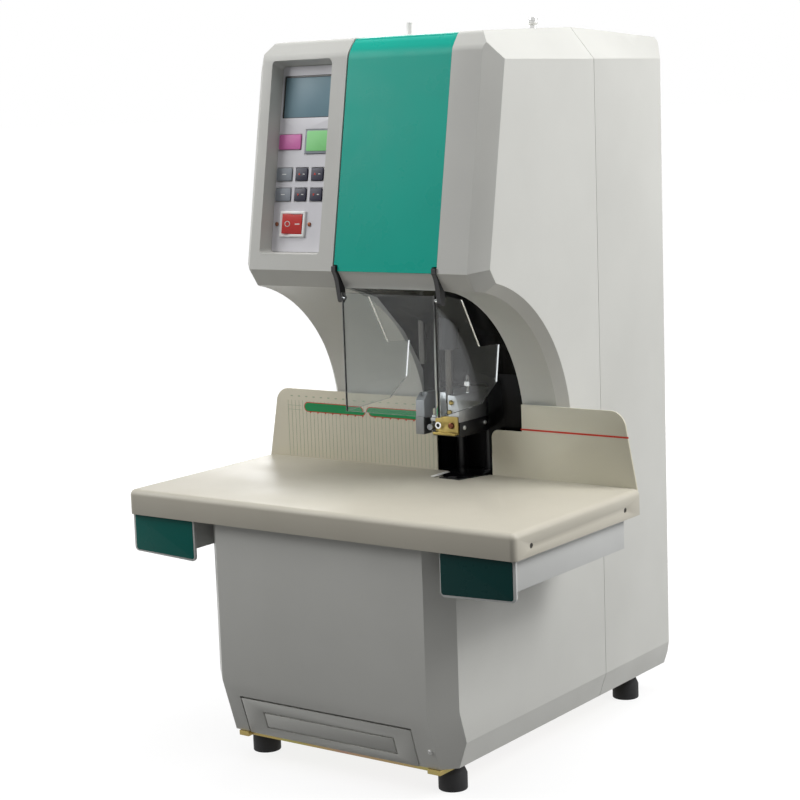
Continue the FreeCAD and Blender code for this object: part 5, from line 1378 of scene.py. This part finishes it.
@dataclass
class ControlPanel:
    """The film, the display, the keys and the power switch, in the head's sloping recess."""

    film: Box = (-115.1, -47.4, 19.3, 202.7)
    floor: float = -15.0
    top: float = -14.0
    window: Box = (-113.0, -49.5, 151.5, 193.5)
    switch: tuple[float, float] = (-89.5, 46.5)
    rows: tuple[float, float] = (89.0, 69.0)
    row_height: float = 13.5
    cap_gap: float = 0.4
    ink: float = 1.03

    def slab(self, name: str, left: float, right: float, low: float, high: float,
             bottom: float, top: float, corner: float = 1.5, rim: float = 0.3) -> Piece:
        """Makes a rounded block on the panel, in its sloping coordinates."""
        return block(name, at(left, low, bottom), at(right, high, top), corner * MM, rim * MM)

    def film_sheet(self) -> None:
        """Refines the printed film: round outer corners and a round-cornered window."""
        sheet = refined("control_panel", "panel_film", Finish.WHITE_FILM, edge=0)

        def corner(edge: Edge, box: Box) -> bool:
            """Whether an edge goes through the film at a corner of a box.

            Args:
                edge: An edge of the film.
                box: Left, right, low and high.

            Returns:
                Whether it is rounded.
            """
            first, last, middle = ends(edge, SLOPE)
            through = (last - first).xy.length < 0.05 and abs(first.z - last.z) > 0.2
            near_x = min(abs(middle.x - box[0]), abs(middle.x - box[1])) < 1
            near_v = min(abs(middle.y - box[2]), abs(middle.y - box[3])) < 1
            return through and near_x and near_v

        picked_bevel(sheet, lambda e: corner(e, self.film), 3.2, 5)
        picked_bevel(sheet, lambda e: corner(e, self.window), 0.8, 3)
        soften(sheet, 0.0002)

    def display(self) -> None:
        """Adds the glass with its black rim: a gasket all round, wider at the top and left as
        painted shade of the window's edge.
        """
        x0, x1, v0, v1 = self.window
        # The rim is 1.8 mm wide at the top and 1.6 mm at the left, against 0.7 mm elsewhere: the
        # wider strips are painted shade.
        rim = self.slab("display_rim_painted_shade", x0, x1, v0, v1, self.floor - 0.3, self.floor + 0.55,
                        0.8, 0.1)
        hole = self.slab("hole", x0 + 1.6, x1 - 0.7, v0 + 0.7, v1 - 1.8, self.floor - 3,
                         self.floor + 3, 0.5, 0)
        dress(settle(cut_away(rim, hole), SLOPE), Finish.BLACK)
        refined("display", "display_glass", Finish.GLASS, edge=0.0003)

    def key(
        self, name: str, box: Box, finish: Finish, marks: tuple[tuple[Piece, Finish], ...] = ()
    ) -> None:
        """Adds one key cap: a rounded block with a softened top rim, and its marks.

        Args:
            name: The CAD node.
            box: Left, low, right and high.
            finish: Its colour.
            marks: Printed pieces on it, each with its finish.
        """
        left, low, right, high = box
        gap = self.cap_gap
        cap = self.slab(name.replace("_key", "_cap"), left + gap, right - gap, low + gap,
                        high - gap, self.top - 0.3, self.top + 1.05, 1.6, 0.45)
        dress(settle(cap, SLOPE), finish, f"{name}_cap", name)
        for mark, ink in marks:
            dress(settle(mark, SLOPE), ink, f"{name}_cap")

    def arrow(self, name: str, x: float, v: float, up: bool) -> Piece:
        """Makes a small printed triangle.

        Args:
            name: The piece's name.
            x: Its middle across the panel.
            v: Its middle up the slope.
            up: Whether it points up the slope.

        Returns:
            The new object.
        """
        twist = 0 if up else 180
        return turned(name, [(0.0016, 0.0), (0.0016, 0.0001)], Matrix.Translation(
            at(x, v, self.top + self.ink)) @ Matrix.Rotation(radians(twist), 4, "Z"), 3)

    def stroke(self, name: str, x: float, v: float, wide: float, high: float) -> Piece:
        """Makes a small printed bar.

        Args:
            name: The piece's name.
            x: Its middle across the panel.
            v: Its middle up the slope.
            wide: Its width.
            high: Its height.

        Returns:
            The new object.
        """
        return self.slab(name, x - wide / 2, x + wide / 2, v - high / 2, v + high / 2,
                         self.top + self.ink, self.top + self.ink + 0.09,
                         min(wide, high) * 0.4, 0)

    def keys(self) -> None:
        """Adds the eight keys."""
        self.key("reset_key", (-114.5, 120.0, -86.0, 135.5), Finish.PINK)
        frame = self.slab("start_frame", -81.1, -51.4, 115.9, 139.6, self.top - 0.3,
                          self.top + 0.75, 1.6, 0.3)
        dress(settle(frame, SLOPE), Finish.GREY_KEY, "start_key_cap", "start_key")
        cap = self.slab("start_cap", -79.2, -52.6, 118.4, 138.4, self.top, self.top + 1.2, 1.4,
                        0.3)
        dress(settle(cap, SLOPE), Finish.LIGHT_GREEN, "start_key_cap")
        for row, v in zip(("upper", "lower"), self.rows):
            self.key(f"{row}_mode_key", (-114.5, v, -94.5, v + self.row_height), Finish.GREY_KEY,
                     ((self.stroke(f"{row}_mode_mark", -104.5, v + 6.8, 5.0, 0.7),
                       Finish.MARK_WHITE),))
        for column, x in (("count", -82.75), ("value", -63.25)):
            for way, v in zip(("up", "down"), self.rows):
                name = f"{column}_{way}"
                box = (x - 7.75, v, x + 7.75, v + self.row_height)
                self.key(f"{name}_key", box, Finish.NAVY, (
                    (self.arrow(f"{name}_arrow", x - 2.6, v + 6.8, way == "up"),
                     Finish.PRINT_RED),
                    (self.stroke(f"{name}_mark", x + 3.0, v + 6.8, 2.6, 0.7),
                     Finish.MARK_WHITE)))

    def power_switch(self) -> None:
        """Adds the bezel, the rocker with its marks and the two screws."""
        refined("switch_bezel", "switch_frame", Finish.WHITE, edge=0.0006, steps=3)
        refined("power_rocker", "red_rocker", Finish.RED, "rocker", 0.0004)
        x, v = self.switch
        tilted = SLOPE @ facing(at(x - 4.82, v, -10.69), (0.3208, 0, 0.9471))
        dress(ring("off_mark", 2.9, 2.2, 0.12, tilted), Finish.MARK_WHITE, "rocker")
        flat = SLOPE @ facing(at(x + 6.4, v, -12.3), (-0.0472, 0, 0.9989))
        bar = block("on_mark", (-0.0005, -0.003, 0), (0.0005, 0.003, 0.00012), 0.0003, 0, 2)
        dress(settle(bar, flat), Finish.MARK_WHITE, "rocker")
        heads = [screw("panel_screw", 2.1, 1.1, SLOPE @ Matrix.Translation(
            at(place, v, self.top))) for place in (-110.0, -69.0)]
        dress(joined("panel_screws", *heads), Finish.COPPER, "machine", "case_screws")

    def build(self) -> None:
        """Adds everything in the recess."""
        self.film_sheet()
        self.display()
        self.keys()
        self.power_switch()


@dataclass
class Roof:
    """The peg and the tube's sleeve on the roof, and the inlet at the back."""

    def build(self) -> None:
        """Turns the peg, refines the sleeve and the inlet, and fits the inlet's pins and screws."""
        low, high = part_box("top_peg")
        middle = ((low[0] + high[0]) / 2, (low[1] + high[1]) / 2, low[2])
        tall = high[2] - low[2]
        dress(turned("roof_peg", [
            (0.0050, 0.0), (0.0052, 0.0004), (0.0052, 0.0016), (0.0050, 0.002), (0.0034, 0.002),
            (0.0034, tall * 0.42), (0.0046, tall * 0.46), (0.0049, tall * 0.5),
            (0.0049, tall * 0.66), (0.0043, tall * 0.68), (0.0043, tall * 0.74),
            (0.0049, tall * 0.76), (0.0049, tall * 0.94), (0.0045, tall)],
            Matrix.Translation(middle)), Finish.BRIGHT, "machine", "top_peg")
        refined("tube_inlet", "tube_sleeve", Finish.WHITE, edge=0.0004, steps=3)
        refined("power_inlet", "mains_inlet", Finish.BLACK, edge=0.0004)
        low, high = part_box("power_inlet")
        x, z = (low[0] + high[0]) / 2, (low[2] + high[2]) / 2
        pins = [block("pin", (x + side * 0.007 - 0.001, high[1] - 0.013, z - 0.002),
                      (x + side * 0.007 + 0.001, high[1] - 0.001, z + 0.002), 0, 0)
                for side in (-1, 0, 1)]
        dress(soften(joined("inlet_pins", *pins), 0.0003), Finish.BRASS)
        heads = [screw("inlet_screw", 2.6, 1.0, facing((x + side * 0.02, high[1] - 0.0012, z),
                                                       (0, 1, 0))) for side in (-1, 1)]
        dress(joined("inlet_screws", *heads), Finish.BRIGHT)


REPAINTED = {
    Finish.ZINC: ("housing_brackets",),
    Finish.STEEL: ("table_bearers", "drawer_rails", "power_supply"),
    Finish.BLACK: ("drill_pad",),
    # The frame, rods, screw and carriages inside the head are painted black as painted shade of the
    # dark inside.
    Finish.BLACK_AND_SHADE: ("frame_plates", "head_beam", "guide_rods", "press_screw",
                       "press_carriage", "drill_carriage"),
    Finish.MOTOR: ("press_motor", "drill_motor", "feed_motor"),
    Finish.ALUMINIUM: ("spindle_pulley", "motor_pulley"),
    Finish.BELT: ("drill_belt",),
    Finish.BRIGHT: ("feed_screw",),
    Finish.DARK_SCREW: ("tube_guide",),
    Finish.BOARD: ("control_board",),
}


def main() -> None:
    """Builds the machine's looks around the frame."""
    logging.basicConfig(level=logging.INFO, format="%(message)s")
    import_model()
    Studio().build()
    for part in (Casing(), Base(), Table(), FencePrint(), Guard(), PressHead(), ControlPanel(),
                 Roof()):
        part.build()
    repaint(REPAINTED)
    bpy.context.view_layer.update()


if __name__ == "__main__":
    main()
